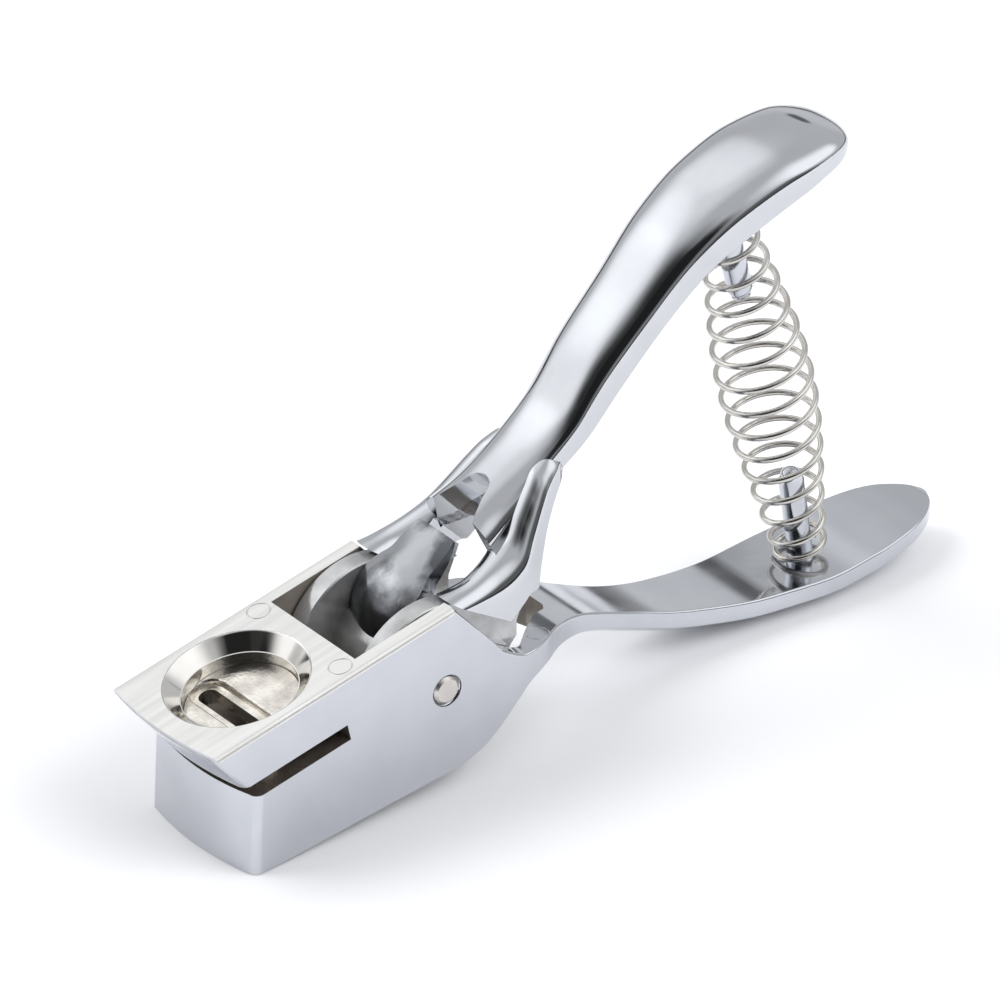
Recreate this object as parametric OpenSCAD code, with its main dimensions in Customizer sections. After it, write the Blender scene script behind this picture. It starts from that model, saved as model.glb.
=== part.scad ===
/* [Overall] */
// Width of the head across its side walls
body_w = 25; // [22:0.5:30]
// Length from the front lip to the tail of the lower handle
overall_l = 136.8; // [126:0.4:150]
// Height of the front lip above the table
head_h = 21.6; // [20.6:0.1:23]
// Slope of the top plate, rising to the rear, in degrees
plate_tilt = 10.5; // [9:0.5:12]

/* [Head] */
// Thickness of each side wall beside the well
side_wall = 2.5; // [2:0.1:3]
// Depth of the top jaw, from the plate to the throat
jaw_t = 7.5; // [6.5:0.1:8]
// Height of the card throat
throat_h = 2.6; // [1.5:0.1:3]
// Reach of the card throat from the lip
throat_reach = 21.4; // [19:0.1:22]
// Thickness of the floor under the throat that guides the punch
guide_t = 2.3; // [1.8:0.1:2.6]
// Thickness of the lip's square front edge
lip_t = 0.8; // [0.5:0.1:1.5]
// How far the jaw's front face slopes back above the throat
lip_rake = 3.2; // [2:0.1:4]
// How far the lip bulges forward at its middle
lip_bulge = 1.2; // [0.6:0.1:2]
// Place of the lower box's front face at the table, behind the lip
box_front = 3.8; // [3:0.1:4.5]
// How far the lower box leans back over its height, in degrees
box_lean = 5.6; // [3:0.2:9]
// How far the lower box bulges forward at its middle
box_bulge = 1.6; // [0.8:0.05:2]
// Radius of the lower box's upright corners
box_corner_r = 1.5; // [1:0.1:2.4]
// Thickness of the lower box's front wall
box_wall = 3.2; // [2.4:0.1:3.6]
// Length of the flat foot under the lower box
foot_l = 2.8; // [2:0.1:4]
// Start of the well behind the lip
well_front = 26; // [25.5:0.1:27.5]
// Place behind the lip where the side walls turn down
wall_end = 41.8; // [41:0.1:43]
// Lowest height of the side wall behind the lever
valley_h = 17; // [16:0.1:18]
// Place of that lowest stretch behind the lip
valley_x = 54.4; // [53:0.1:56]
// Rise of the underside from the foot to the pivot
belly_rise = 3.3; // [2.5:0.1:4]
// Radius of the round witness marks on the plate
mark_r = 1.7; // [1.2:0.1:2]

/* [Recess and die] */
// Place of the recess behind the lip, along the plate
recess_u = 12.8; // [12.4:0.1:13.2]
// Diameter of the recess at the plate
recess_d = 21.4; // [20.4:0.1:22]
// Diameter of the bore that holds the die
die_d = 16.8; // [16.4:0.1:17.6]
// Depth of the cone
cone_depth = 2.2; // [1.6:0.1:2.8]
// Depth of the recess floor, which is the top of the die
recess_depth = 4; // [3.4:0.1:4.6]
// Length of the punched slot
slot_l = 14.3; // [13:0.1:14.6]
// Width of the punched slot
slot_w = 3; // [2.4:0.1:3.4]
// Offset of the slot from the recess towards the lip
slot_offset = 2; // [1.6:0.1:2.4]
// Length of the relief round the slot
relief_l = 16; // [15.4:0.1:16.6]
// Width of the relief round the slot
relief_w = 5.4; // [4.6:0.1:6]
// Depth of the relief
relief_depth = 1; // [0.6:0.1:1.4]

/* [Pivot] */
// Place of the pivot behind the lip
pivot_x = 39.8; // [39.2:0.1:40.4]
// Height of the pivot above the table
pivot_z = 16.7; // [16.2:0.1:17.2]
// Diameter of the pivot pin
pin_d = 4.3; // [3.8:0.1:5]
// How far each end of the pin stands proud
pin_proud = 0.2; // [0.1:0.05:0.4]

/* [Lever] */
// Reach of the upper handle behind the pivot
lever_l = 81.6; // [76:0.2:90]
// Height of the upper handle above the pivot
lever_h = 58.8; // [55:0.2:63]
// Turn of the lever from open to closed, in degrees
lever_swing = 12; // [10:0.5:13]
// Radius of the lever's round hub plates
hub_r = 12.3; // [11.6:0.1:12.6]
// Thickness of each hub plate
hub_plate = 3.3; // [2.8:0.1:3.8]
// Radius of the solid boss between the hub plates
boss_r = 6.6; // [5.5:0.1:7.5]
// Thickness of the tongue between the cheeks
tongue_t = 4.2; // [3:0.1:5]
// Width of the drive arm between the punch's legs
arm_w = 6; // [5:0.2:7]
// Half the depth of the drive arm at its nose
nose_r = 1.7; // [1.5:0.05:1.9]

/* [Punch] */
// Height of the punch from its cutting face to the link pin
punch_h = 10; // [9.5:0.1:10.4]
// How far the punch rests below the throat's floor
punch_rest = 0.5; // [0.2:0.1:0.8]
// Diameter of the link pin
link_d = 1.6; // [1.2:0.1:1.8]
// Length of the link pin
link_l = 11; // [9:0.2:12]

/* [Spring] */
// Diameter of the spring wire
wire_d = 0.95; // [0.7:0.05:1.1]
// Number of curls
curls = 15.5; // [12:0.5:17]
// Outer diameter at the ends
spring_end_d = 8.2; // [7.4:0.1:9.4]
// Outer diameter at the middle
spring_mid_d = 14.6; // [12:0.1:15.2]
// How far the open spring bows to the rear at its middle
spring_bow = 0.7; // [0:0.1:1.5]
// Diameter of both studs
stud_d = 3.8; // [3:0.1:4.2]
// Length of the upper stud outside the lever
upper_stud_l = 16.2; // [12:0.2:18]
// Length of the lower stud outside the handle
lower_stud_l = 15; // [12:0.2:17]
// Depth of each stud's root in its casting
stud_root = 2.6; // [2:0.1:3]

/* [Hidden] */

half_w = body_w / 2;
over = 5;
gap = 0.3;
run = 0.05;
witness_w = 0.18;
witness_depth = 0.15;

// A point u along the plate and w below it, as [x, z]
function plate_pt(u, w) = [u * cos(plate_tilt) + w * sin(plate_tilt),
                           head_h + u * sin(plate_tilt) - w * cos(plate_tilt)];
// Height of the plate's plane at x
function plate_z(x) = head_h + x * tan(plate_tilt);
// Smooth row between rows i and i + 1 of a table, at the share f of the step
function blend_row(rows, i, f) =
    let (n = len(rows), a = rows[max(i - 1, 0)], b = rows[i], c = rows[min(i + 1, n - 1)],
         d = rows[min(i + 2, n - 1)])
    (2 * b + (c - a) * f + (2 * a - 5 * b + 4 * c - d) * f * f + (3 * b - a - 3 * c + d) * f * f * f) / 2;
// All rows of a table with the given number of steps between them
function fine_rows(rows, steps) = concat(
    [for (i = [0 : len(rows) - 2]) for (k = [0 : steps - 1]) blend_row(rows, i, k / steps)],
    [rows[len(rows) - 1]]);

slot_u = recess_u - slot_offset;
throat_floor = jaw_t + throat_h;
ceiling_w = throat_floor + guide_t;
well_half = half_w - side_wall;
pivot_u = pivot_x * cos(plate_tilt) + (pivot_z - head_h) * sin(plate_tilt);
pivot_w = pivot_x * sin(plate_tilt) - (pivot_z - head_h) * cos(plate_tilt);
link_w = throat_floor + punch_rest + punch_h;
link_du = pivot_u - slot_u;
link_dw = link_w - pivot_w;
link_reach = sqrt(link_du * link_du + link_dw * link_dw);
link_angle = atan2(link_dw, link_du);
stroke = link_reach * (sin(link_angle) - sin(link_angle - lever_swing));
link_shift = link_reach * (cos(link_angle - lever_swing) - cos(link_angle));
echo(stroke_mm = stroke, stroke_mm_per_rad = stroke / (lever_swing * PI / 180), link_shift_mm = link_shift);

lip_out = lip_bulge * cos(plate_tilt);
tail_x = overall_l - lip_out;

module in_frame() {
    translate([lip_out - overall_l / 2, 0, 0]) children();
}

module on_plate() {
    translate([0, 0, head_h]) rotate([0, -plate_tilt, 0]) children();
}

// An outline of [x, z] points, drawn out to both sides of the middle plane
module side_slab(points, width) {
    rotate([90, 0, 0]) linear_extrude(height = width, center = true) polygon(points);
}

// An upright bar with round ends, long across the object
module obround(length, width, height) {
    reach = length - width;
    translate([-width / 2, -reach / 2, 0]) cube([width, reach, height]);
    for (side = [-1, 1]) translate([0, side * reach / 2, 0]) cylinder(d = width, h = height, $fn = 48);
}

// A closed skin through rings of points
module ring_skin(rings) {
    n = len(rings[0]);
    m = len(rings);
    points = [for (ring = rings) each ring];
    sides = [for (i = [0 : m - 2]) for (k = [0 : n - 1])
        each [[i * n + k, i * n + (k + 1) % n, (i + 1) * n + k],
              [i * n + (k + 1) % n, (i + 1) * n + (k + 1) % n, (i + 1) * n + k]]];
    first = [for (k = [n - 1 : -1 : 0]) k];
    last = [for (k = [0 : n - 1]) (m - 1) * n + k];
    polyhedron(points = points, faces = concat([first], sides, [last]), convexity = 6);
}

// A D-shaped ring: flat on its inner side, upright at its edges, crowned on its outer side
crown_steps = 12;
crown_turn = 78;
function crown_share(s) = (cos(crown_turn * s) - cos(crown_turn)) / (1 - cos(crown_turn));
function d_ring(inner, outer, half, band_share) =
    let (rise = outer - inner)
    concat(
        [[inner[0], -half, inner[1]], [inner[0], half, inner[1]]],
        [for (k = [0 : crown_steps])
            let (s = 1 - 2 * k / crown_steps, h = band_share + (1 - band_share) * crown_share(s))
            [inner[0] + rise[0] * h, half * s, inner[1] + rise[1] * h]]);

// Side outline of the head
foot_end = box_front + foot_l;
belly_z = belly_rise;
incline_foot = [valley_x - valley_h * 0.27, valley_h * 1.14];
belly_share = [[0.2, 0.04], [0.38, 0.1], [0.58, 0.25], [0.78, 0.44], [1, 0.66]];
head_side = concat(
    [plate_pt(-2 * lip_bulge, 0), [wall_end, plate_z(wall_end)], incline_foot],
    [for (a = [20 : 20 : 80])
        [incline_foot[0] + (valley_x - incline_foot[0]) * sin(a) * 0.8,
         valley_h + (incline_foot[1] - valley_h) * (1 - sin(a))]],
    [[valley_x, valley_h]],
    [for (k = [len(belly_share) - 1 : -1 : 0])
        [pivot_x + (valley_x - pivot_x) * belly_share[k][0],
         belly_z + (valley_h - belly_z) * belly_share[k][1]]],
    [[pivot_x, belly_z], [foot_end, 0], [-2 * lip_bulge, 0]]);

module jaw_zone() {
    lip_r = (half_w * half_w + lip_bulge * lip_bulge) / (2 * lip_bulge);
    rake = atan(lip_rake / (jaw_t - lip_t));
    deep = jaw_t + throat_h / 2;
    on_plate() intersection() {
        translate([lip_r - lip_bulge, 0, -deep]) cylinder(r = lip_r, h = deep + head_h, $fn = 240);
        translate([-lip_bulge, 0, -lip_t]) rotate([0, -rake, 0]) translate([lip_r, 0, 0])
            cylinder(r = lip_r, h = 2 * overall_l, center = true, $fn = 240);
    }
}

// Plan of the lower box: a bowed front with rounded corners that run out past the side walls
corner_steps = 6;
bulge_r = (half_w * half_w + box_bulge * box_bulge) / (2 * box_bulge);
corner_y = half_w - box_corner_r * 0.985;
corner_x = bulge_r - sqrt(bulge_r * bulge_r - corner_y * corner_y) + box_corner_r;
box_half = concat(
    [for (k = [0 : corner_steps])
        let (y = corner_y * k / (corner_steps + 1))
        [bulge_r - sqrt(bulge_r * bulge_r - y * y), y]],
    [for (k = [1 : corner_steps])
        let (a = 90 * k / corner_steps)
        [corner_x - box_corner_r * cos(a), corner_y + box_corner_r * sin(a)]],
    [[corner_x, body_w], [overall_l / 2, body_w]]);

module box_zone() {
    tall = overall_l;
    intersection() {
        translate([box_front, 0, 0]) rotate([0, box_lean, 0]) linear_extrude(height = tall, center = true)
            polygon(concat(box_half, [for (k = [len(box_half) - 1 : -1 : 1]) [box_half[k][0], -box_half[k][1]]]));
        on_plate() translate([-over, -body_w, -2 * head_h - jaw_t - throat_h / 4])
            cube([overall_l, 2 * body_w, 2 * head_h]);
    }
}

module head_block() {
    intersection() {
        side_slab(head_side, body_w);
        union() {
            jaw_zone();
            box_zone();
        }
    }
}

// The lower handle, by shares: place along it, height of its flat inner face, height of its crowned
// underside, half width, and the share of the thickness that the upright edge takes
handle_share = [
    [0, 0.995, 0.40, 0.996, 0.65], [0.055, 0.995, 0.48, 0.99, 0.50], [0.10, 0.995, 0.57, 0.88, 0.52],
    [0.14, 0.98, 0.61, 0.72, 0.54], [0.20, 0.90, 0.585, 0.535, 0.54], [0.26, 0.77, 0.49, 0.43, 0.54],
    [0.34, 0.60, 0.32, 0.39, 0.54], [0.45, 0.42, 0.135, 0.456, 0.54], [0.60, 0.29, 0.01, 0.585, 0.54],
    [0.73, 0.27, 0, 0.68, 0.54], [0.82, 0.315, 0.035, 0.685, 0.54], [0.90, 0.355, 0.10, 0.61, 0.54],
    [0.955, 0.37, 0.165, 0.44, 0.54], [0.99, 0.37, 0.22, 0.21, 0.54], [1, 0.37, 0.24, 0.05, 0.54]];
root_x = valley_x * 0.92;

module lower_handle() {
    rows = fine_rows(handle_share, 2);
    ring_skin([for (r = rows)
        let (x = root_x + r[0] * (tail_x - root_x))
        d_ring([x, valley_h * r[1]], [x, valley_h * max(r[2], 0)], half_w * r[3], r[4])]);
}

// Plan of the hollow: straight sides, then a throat that narrows into the handle's root
hollow_front = box_front + box_wall;
well_tail = [[0, 1], [0.35, 0.68], [0.65, 0.45], [0.92, 0.33], [1, 0.2]];
tail_l = valley_h * 0.6;
hollow_plan = concat(
    [[hollow_front, -well_half]],
    [for (p = well_tail) [valley_x + tail_l * p[0], -well_half * p[1]]],
    [for (k = [len(well_tail) - 1 : -1 : 0]) [valley_x + tail_l * well_tail[k][0], well_half * well_tail[k][1]]],
    [[hollow_front, well_half]]);
// Height of the guide floor's underside at x
function ceiling_z(x) = plate_z(x) - ceiling_w / cos(plate_tilt);

module head_hollow() {
    intersection() {
        translate([0, 0, -over]) linear_extrude(height = 3 * head_h) polygon(hollow_plan);
        // The well, open above, and the channel under the guide floor that the arm swings in, open below
        side_slab([[0, -2 * over], [0, ceiling_z(0)], [well_front, ceiling_z(well_front)], [well_front, 3 * head_h],
                   [overall_l, 3 * head_h], [overall_l, -2 * over]], 2 * body_w);
    }
}

module plate_recess() {
    on_plate() translate([recess_u, 0, 0]) {
        // The cone, drawn on as far above the plate as it goes below
        translate([0, 0, -cone_depth])
            cylinder(d1 = die_d + gap, d2 = 2 * recess_d - die_d - gap, h = 2 * cone_depth, $fn = 96);
        translate([0, 0, -jaw_t - throat_h / 2]) cylinder(d = die_d, h = jaw_t + throat_h / 2, $fn = 96);
    }
}

module witness_marks() {
    on_plate() for (side = [-1, 1])
        translate([well_front - mark_r - gap, side * (well_half - mark_r / 8), -witness_depth]) difference() {
            cylinder(r = mark_r, h = over, $fn = 48);
            translate([0, 0, -over]) cylinder(r = mark_r - witness_w, h = 3 * over, $fn = 48);
        }
}

// Place, height and lean of the spring's seats on both handles
lower_seat = [overall_l * 0.823, 0, valley_h * 0.273];
upper_seat = [pivot_x + lever_l * 0.7435, 0, pivot_z + lever_h * 0.85];
spring_run = upper_seat - lower_seat;
spring_lean = atan2(spring_run[0], spring_run[2]);
lower_lean = spring_lean / 2;

module at_lower_seat() {
    translate(lower_seat) rotate([0, lower_lean, 0]) children();
}

module at_upper_seat() {
    translate(upper_seat) rotate([0, 180 + spring_lean, 0]) children();
}

module across_pivot() {
    translate([pivot_x, 0, pivot_z]) rotate([90, 0, 0]) children();
}

module body_casting() {
    color("gainsboro") in_frame() difference() {
        union() {
            head_block();
            lower_handle();
        }
        head_hollow();
        plate_recess();
        witness_marks();
        // Card throat, open at the front and both sides
        on_plate() translate([-2 * over, -body_w, -throat_floor])
            cube([throat_reach + 2 * over, 2 * body_w, throat_h]);
        // Guide slot for the punch
        on_plate() translate([slot_u, 0, -ceiling_w - over]) obround(slot_l, slot_w, guide_t + throat_h / 2 + over);
        across_pivot() cylinder(d = pin_d, h = 2 * body_w, center = true, $fn = 64);
        at_lower_seat() translate([0, 0, -stud_root]) cylinder(d = stud_d, h = stud_root + over, $fn = 48);
    }
}

module die_insert() {
    color("silver") in_frame() on_plate() difference() {
        translate([recess_u, 0, -jaw_t]) cylinder(d = die_d, h = jaw_t - recess_depth, $fn = 96);
        translate([slot_u, 0, -jaw_t - over]) obround(slot_l, slot_w, jaw_t + over);
        translate([slot_u, 0, -recess_depth - relief_depth]) obround(relief_l, relief_w, over);
    }
}

punch_l = slot_l - 2 * run;
punch_w = slot_w - 2 * run;
nose_half = nose_r + gap;
notch_up = nose_half + punch_w / 4;
leg_down = nose_r;

module punch_blade() {
    color("darkgray") in_frame() on_plate() translate([slot_u, 0, -link_w]) difference() {
        translate([0, 0, -leg_down]) obround(punch_l, punch_w, leg_down + punch_h);
        translate([-over, -arm_w / 2 - gap, -leg_down - over]) cube([2 * over, arm_w + 2 * gap, leg_down + over + notch_up]);
        rotate([90, 0, 0]) cylinder(d = link_d, h = 2 * body_w, center = true, $fn = 32);
    }
}

module punch_link_pin() {
    color("silver") in_frame() on_plate() translate([slot_u, 0, -link_w])
        rotate([90, 0, 0]) cylinder(d = link_d, h = link_l, center = true, $fn = 32);
}

// The upper handle and its cheeks, by shares of the lever's reach and height from the pivot: inner face,
// crown, then half width as a share of the head's, and the share of the thickness that the edge takes
lever_share = [
    [0.036, 0.16, 0.020, 0.245, 0.996, 0.10], [0.087, 0.115, 0.071, 0.288, 0.996, 0.36],
    [0.153, 0.095, 0.127, 0.323, 0.995, 0.36], [0.217, 0.14, 0.184, 0.354, 0.98, 0.24],
    [0.240, 0.245, 0.242, 0.388, 0.90, 0.30], [0.270, 0.325, 0.272, 0.414, 0.74, 0.42],
    [0.316, 0.385, 0.300, 0.447, 0.58, 0.48], [0.377, 0.445, 0.345, 0.508, 0.50, 0.48],
    [0.459, 0.560, 0.413, 0.625, 0.53, 0.42], [0.551, 0.680, 0.505, 0.745, 0.565, 0.36],
    [0.649, 0.792, 0.608, 0.878, 0.64, 0.28], [0.750, 0.859, 0.714, 0.964, 0.71, 0.24],
    [0.841, 0.905, 0.826, 1.005, 0.74, 0.24], [0.911, 0.931, 0.911, 1.01, 0.685, 0.26],
    [0.961, 0.941, 0.966, 0.995, 0.52, 0.30], [0.987, 0.946, 0.988, 0.975, 0.28, 0.40],
    [0.995, 0.949, 0.995, 0.962, 0.10, 0.5]];

module lever_skin() {
    rows = fine_rows(lever_share, 2);
    ring_skin([for (r = rows)
        d_ring([pivot_x + lever_l * r[0], pivot_z + lever_h * r[1]],
               [pivot_x + lever_l * r[2], pivot_z + lever_h * r[3]], -half_w * r[4], r[5])]);
}

fork_half = well_half - gap - hub_plate;
// Everything under the cheeks' lower edge, which stays clear of the walls' slope
cheek_low = [
    [wall_end - gap, plate_z(wall_end) + 2 * gap], [wall_end + gap, plate_z(wall_end) + gap / 2],
    [pivot_x + lever_l * 0.143, pivot_z + lever_h * 0.115], [pivot_x + lever_l * 0.191, pivot_z + lever_h * 0.163],
    [pivot_x + lever_l * 0.296, pivot_z + lever_h * 0.163], [pivot_x + lever_l * 0.296, 0],
    [pivot_x - lever_l * 0.1, 0], [pivot_x - lever_l * 0.1, plate_z(wall_end) + 2 * gap]];
// Plan of the window between the cheeks, seen square to the neck
window_share = [[-0.2, 0.97], [0.05, 0.97], [0.15, 0.85], [0.35, 0.66], [0.7, 0.42], [1, 0.12]];
window_l = fork_half * 1.5;
window_turn = 42;
window_at = [pivot_x + lever_l * 0.1325, pivot_z + lever_h * 0.27];
square_dir = [-sin(window_turn), cos(window_turn)];

module fork_gap() {
    side_slab([window_at + square_dir * hub_r, window_at - square_dir * 2 * hub_r, [pivot_x - hub_r, 0],
               [pivot_x - hub_r, plate_z(wall_end) + hub_r]], 2 * fork_half);
    translate([window_at[0], 0, window_at[1]]) rotate([0, -window_turn, 0])
        translate([0, 0, -2 * hub_r]) linear_extrude(height = 3 * hub_r) polygon(concat(
            [for (p = window_share) [window_l * p[0], -fork_half * p[1]]],
            [for (k = [len(window_share) - 1 : -1 : 0]) [window_l * window_share[k][0], fork_half * window_share[k][1]]]));
}

// Side outline of the hub plates, which carry the cheeks
module hub_plates() {
    reach = well_half - gap;
    for (side = [-1, 1]) translate([0, side * (reach - hub_plate / 2), 0]) union() {
        across_pivot() cylinder(r = hub_r, h = hub_plate, center = true, $fn = 96);
        side_slab([[pivot_x - hub_r * 0.2, pivot_z + hub_r * 0.9], [pivot_x, pivot_z],
                   [pivot_x + hub_r * 0.95, pivot_z + hub_r * 0.2],
                   [pivot_x + lever_l * 0.209, pivot_z + lever_h * 0.2],
                   [pivot_x + lever_l * 0.173, pivot_z + lever_h * 0.25],
                   [wall_end + gap, plate_z(wall_end) + gap]], hub_plate);
    }
}

tongue_share = [[-0.34, 0.52], [-0.30, 0.675], [0.02, 1.03], [0.15, 1.155], [0.29, 1.25], [0.51, 1.36], [0.675, 1.44]];

module tongue() {
    outer = [for (p = tongue_share) [pivot_x + hub_r * p[0], pivot_z + hub_r * p[1]]];
    top = outer[len(outer) - 1];
    side_slab(concat(outer,
        [[top[0] + tongue_t * 0.2, top[1] - tongue_t * 0.2],
         [pivot_x + hub_r * 0.36, pivot_z + hub_r * 1.29 - tongue_t * 1.25],
         [pivot_x + boss_r * 0.9, pivot_z + boss_r * 0.5], [pivot_x, pivot_z]]), 2 * fork_half * 0.86);
}

module drive_arm() {
    // Drawn closed, with its top flat under the guide floor, then turned open
    translate([pivot_x, 0, pivot_z]) rotate([0, -lever_swing, 0]) translate([-pivot_x, 0, -pivot_z]) on_plate() {
        shut_u = pivot_u - link_reach * cos(link_angle - lever_swing);
        shut_w = pivot_w + link_reach * sin(link_angle - lever_swing);
        difference() {
            union() {
                rotate([90, 0, 0]) linear_extrude(height = arm_w, center = true) polygon([
                    [shut_u - link_shift / 2, -shut_w + nose_r], [pivot_u, -shut_w + nose_r],
                    [pivot_u, -shut_w - nose_r * 2.6], [pivot_u - hub_r, -shut_w - nose_r * 2.2],
                    [shut_u - link_shift / 2, -shut_w - nose_r]]);
                translate([shut_u - link_shift / 2, 0, -shut_w]) rotate([90, 0, 0])
                    cylinder(r = nose_r, h = arm_w, center = true, $fn = 48);
                // Wide root of the arm behind the punch
                rotate([90, 0, 0]) linear_extrude(height = 2 * fork_half + hub_plate / 2, center = true) polygon([
                    [slot_u + hub_r * 0.75, -shut_w + nose_r], [pivot_u, -shut_w + nose_r],
                    [pivot_u, -shut_w - nose_r * 2.6], [pivot_u - hub_r, -shut_w - nose_r * 2.2],
                    [slot_u + hub_r * 0.75, -shut_w - nose_r * 1.2]]);
            }
            for (k = [0 : 1]) translate([shut_u - link_shift / 6 + k * link_shift * 1.3, 0, -shut_w])
                rotate([90, 0, 0]) cylinder(d = link_d + gap, h = body_w, center = true, $fn = 32);
            translate([shut_u - link_shift / 6, -half_w, -shut_w - (link_d + gap) / 2])
                cube([link_shift * 1.3, body_w, link_d + gap]);
        }
    }
}

module lever_casting() {
    color("gainsboro") in_frame() difference() {
        union() {
            difference() {
                lever_skin();
                side_slab(cheek_low, 2 * body_w);
                fork_gap();
            }
            hub_plates();
            across_pivot() cylinder(r = boss_r, h = 2 * (well_half - gap), center = true, $fn = 64);
            tongue();
            drive_arm();
        }
        across_pivot() cylinder(d = pin_d + 2 * run, h = 2 * body_w, center = true, $fn = 64);
        at_upper_seat() translate([0, 0, -stud_root]) cylinder(d = stud_d, h = stud_root + over, $fn = 48);
    }
}

module pivot_pin() {
    chamfer = pin_d / 10;
    straight = body_w + 2 * pin_proud - 2 * chamfer;
    color("silver") in_frame() across_pivot() {
        cylinder(d = pin_d, h = straight, center = true, $fn = 64);
        for (side = [-1, 1]) translate([0, 0, side * straight / 2]) rotate([side < 0 ? 180 : 0, 0, 0])
            cylinder(d1 = pin_d, d2 = pin_d - 2 * chamfer, h = chamfer, $fn = 64);
    }
}

// A turned stud with a domed, slightly smaller end
module stud(length) {
    tip_r = stud_d * 0.4;
    rotate_extrude($fn = 48) polygon(concat(
        [[0, -stud_root], [stud_d / 2, -stud_root], [stud_d / 2, length - tip_r * 1.4], [tip_r, length - tip_r * 1.2]],
        [for (a = [15 : 15 : 75]) [tip_r * cos(a), length - tip_r * 0.8 + tip_r * 0.8 * sin(a)]],
        [[0, length - tip_r * 0.8 + tip_r * 0.8 * sin(75)]]));
}

module upper_spring_stud() {
    color("gainsboro") in_frame() at_upper_seat() stud(upper_stud_l);
}

module lower_spring_stud() {
    color("gainsboro") in_frame() at_lower_seat() stud(lower_stud_l);
}

// Barrel spring on one unbroken line: radius and height by the share t of its curls
wire_r = wire_d / 2;
curl_steps = 8;
wire_sides = 6;
coil_steps = floor(curls * curl_steps);
// The upper handle's face slopes across the spring's end, so that end stops a little short of it
end_rise = spring_end_d * 0.08;
spring_len = norm(spring_run) - wire_d - 2 * gap - end_rise;
flat_share = 1.1 / curls;
flat_pitch = wire_d * 1.6;
barrel_power = 1.8;
function coil_r(t) =
    (spring_end_d + (spring_mid_d - spring_end_d) * pow(max(sin(180 * t), 0), barrel_power)) / 2 - wire_r;
function coil_z(t) =
    let (flat_z = flat_pitch * flat_share * curls, mid = spring_len - 2 * flat_z)
    t < flat_share ? flat_z * t / flat_share
    : t > 1 - flat_share ? spring_len - flat_z * (1 - t) / flat_share
    : flat_z + mid * (t - flat_share) / (1 - 2 * flat_share);
function coil_pt(t) =
    [coil_r(t) * cos(360 * curls * t) + spring_bow * sin(180 * t), coil_r(t) * sin(360 * curls * t), coil_z(t)];
function unit(v) = v / norm(v);
first_dir = unit(coil_pt(0) - coil_pt(1 / coil_steps));
last_dir = unit(coil_pt(1) - coil_pt(1 - 1 / coil_steps));
coil_line = concat([coil_pt(0) + first_dir * wire_d], [for (i = [0 : coil_steps]) coil_pt(i / coil_steps)],
                   [coil_pt(1) + last_dir * wire_d]);
coil_gap = min([for (i = [0 : len(coil_line) - 1]) for (k = [i + curl_steps - 2 : min(i + curl_steps + 2, len(coil_line) - 1)])
    norm(coil_line[i] - coil_line[k])]) - wire_d;
echo(least_spring_gap_mm = coil_gap);

module return_spring() {
    n = len(coil_line);
    rings = [for (i = [0 : n - 1])
        let (along = unit(coil_line[min(i + 1, n - 1)] - coil_line[max(i - 1, 0)]),
             side = unit(cross(along, [0, 0, 1])), up = cross(side, along))
        [for (k = [0 : wire_sides - 1])
            coil_line[i] + wire_r * (side * cos(360 * k / wire_sides) + up * sin(360 * k / wire_sides))]];
    color("silver") in_frame() translate(lower_seat) rotate([0, spring_lean, 0])
        translate([0, 0, wire_r + gap]) ring_skin(rings);
}

body_casting();
die_insert();
punch_blade();
punch_link_pin();
lever_casting();
pivot_pin();
return_spring();
upper_spring_stud();
lower_spring_stud();
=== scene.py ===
"""Looks of the ID card slot punch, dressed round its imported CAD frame.

Shapes are worked out in millimetres of the photograph's frame: x runs from the corners of the front lip to
the handles' tails, y across the head and z up from the table. The last step of each piece sets it into the
CAD frame.
"""

import logging
import math
from dataclasses import dataclass, field
from enum import Enum
from typing import Any, Optional, Sequence

import bmesh
import bpy
import numpy as np
from mathutils import Matrix, Vector


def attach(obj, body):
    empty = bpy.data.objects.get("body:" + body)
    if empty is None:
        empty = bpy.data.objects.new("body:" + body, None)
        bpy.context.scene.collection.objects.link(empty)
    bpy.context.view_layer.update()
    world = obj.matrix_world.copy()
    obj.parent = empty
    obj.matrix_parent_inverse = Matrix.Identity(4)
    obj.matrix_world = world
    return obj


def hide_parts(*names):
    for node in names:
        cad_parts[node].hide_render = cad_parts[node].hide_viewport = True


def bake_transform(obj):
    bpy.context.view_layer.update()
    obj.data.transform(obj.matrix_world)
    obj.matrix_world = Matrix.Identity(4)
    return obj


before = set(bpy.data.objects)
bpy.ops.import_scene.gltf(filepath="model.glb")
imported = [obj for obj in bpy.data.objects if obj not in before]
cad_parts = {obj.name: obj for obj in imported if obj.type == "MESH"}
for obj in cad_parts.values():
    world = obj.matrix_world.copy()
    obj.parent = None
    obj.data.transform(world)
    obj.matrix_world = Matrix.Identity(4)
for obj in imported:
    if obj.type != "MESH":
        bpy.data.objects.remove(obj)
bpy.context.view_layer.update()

LOG = logging.getLogger("slot_punch")
Array = np.ndarray
Rows = Sequence[Sequence[float]]
Table = list[tuple[float, ...]]
Mesh = bpy.types.Mesh
Object = bpy.types.Object
Tree = bpy.types.NodeTree

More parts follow.
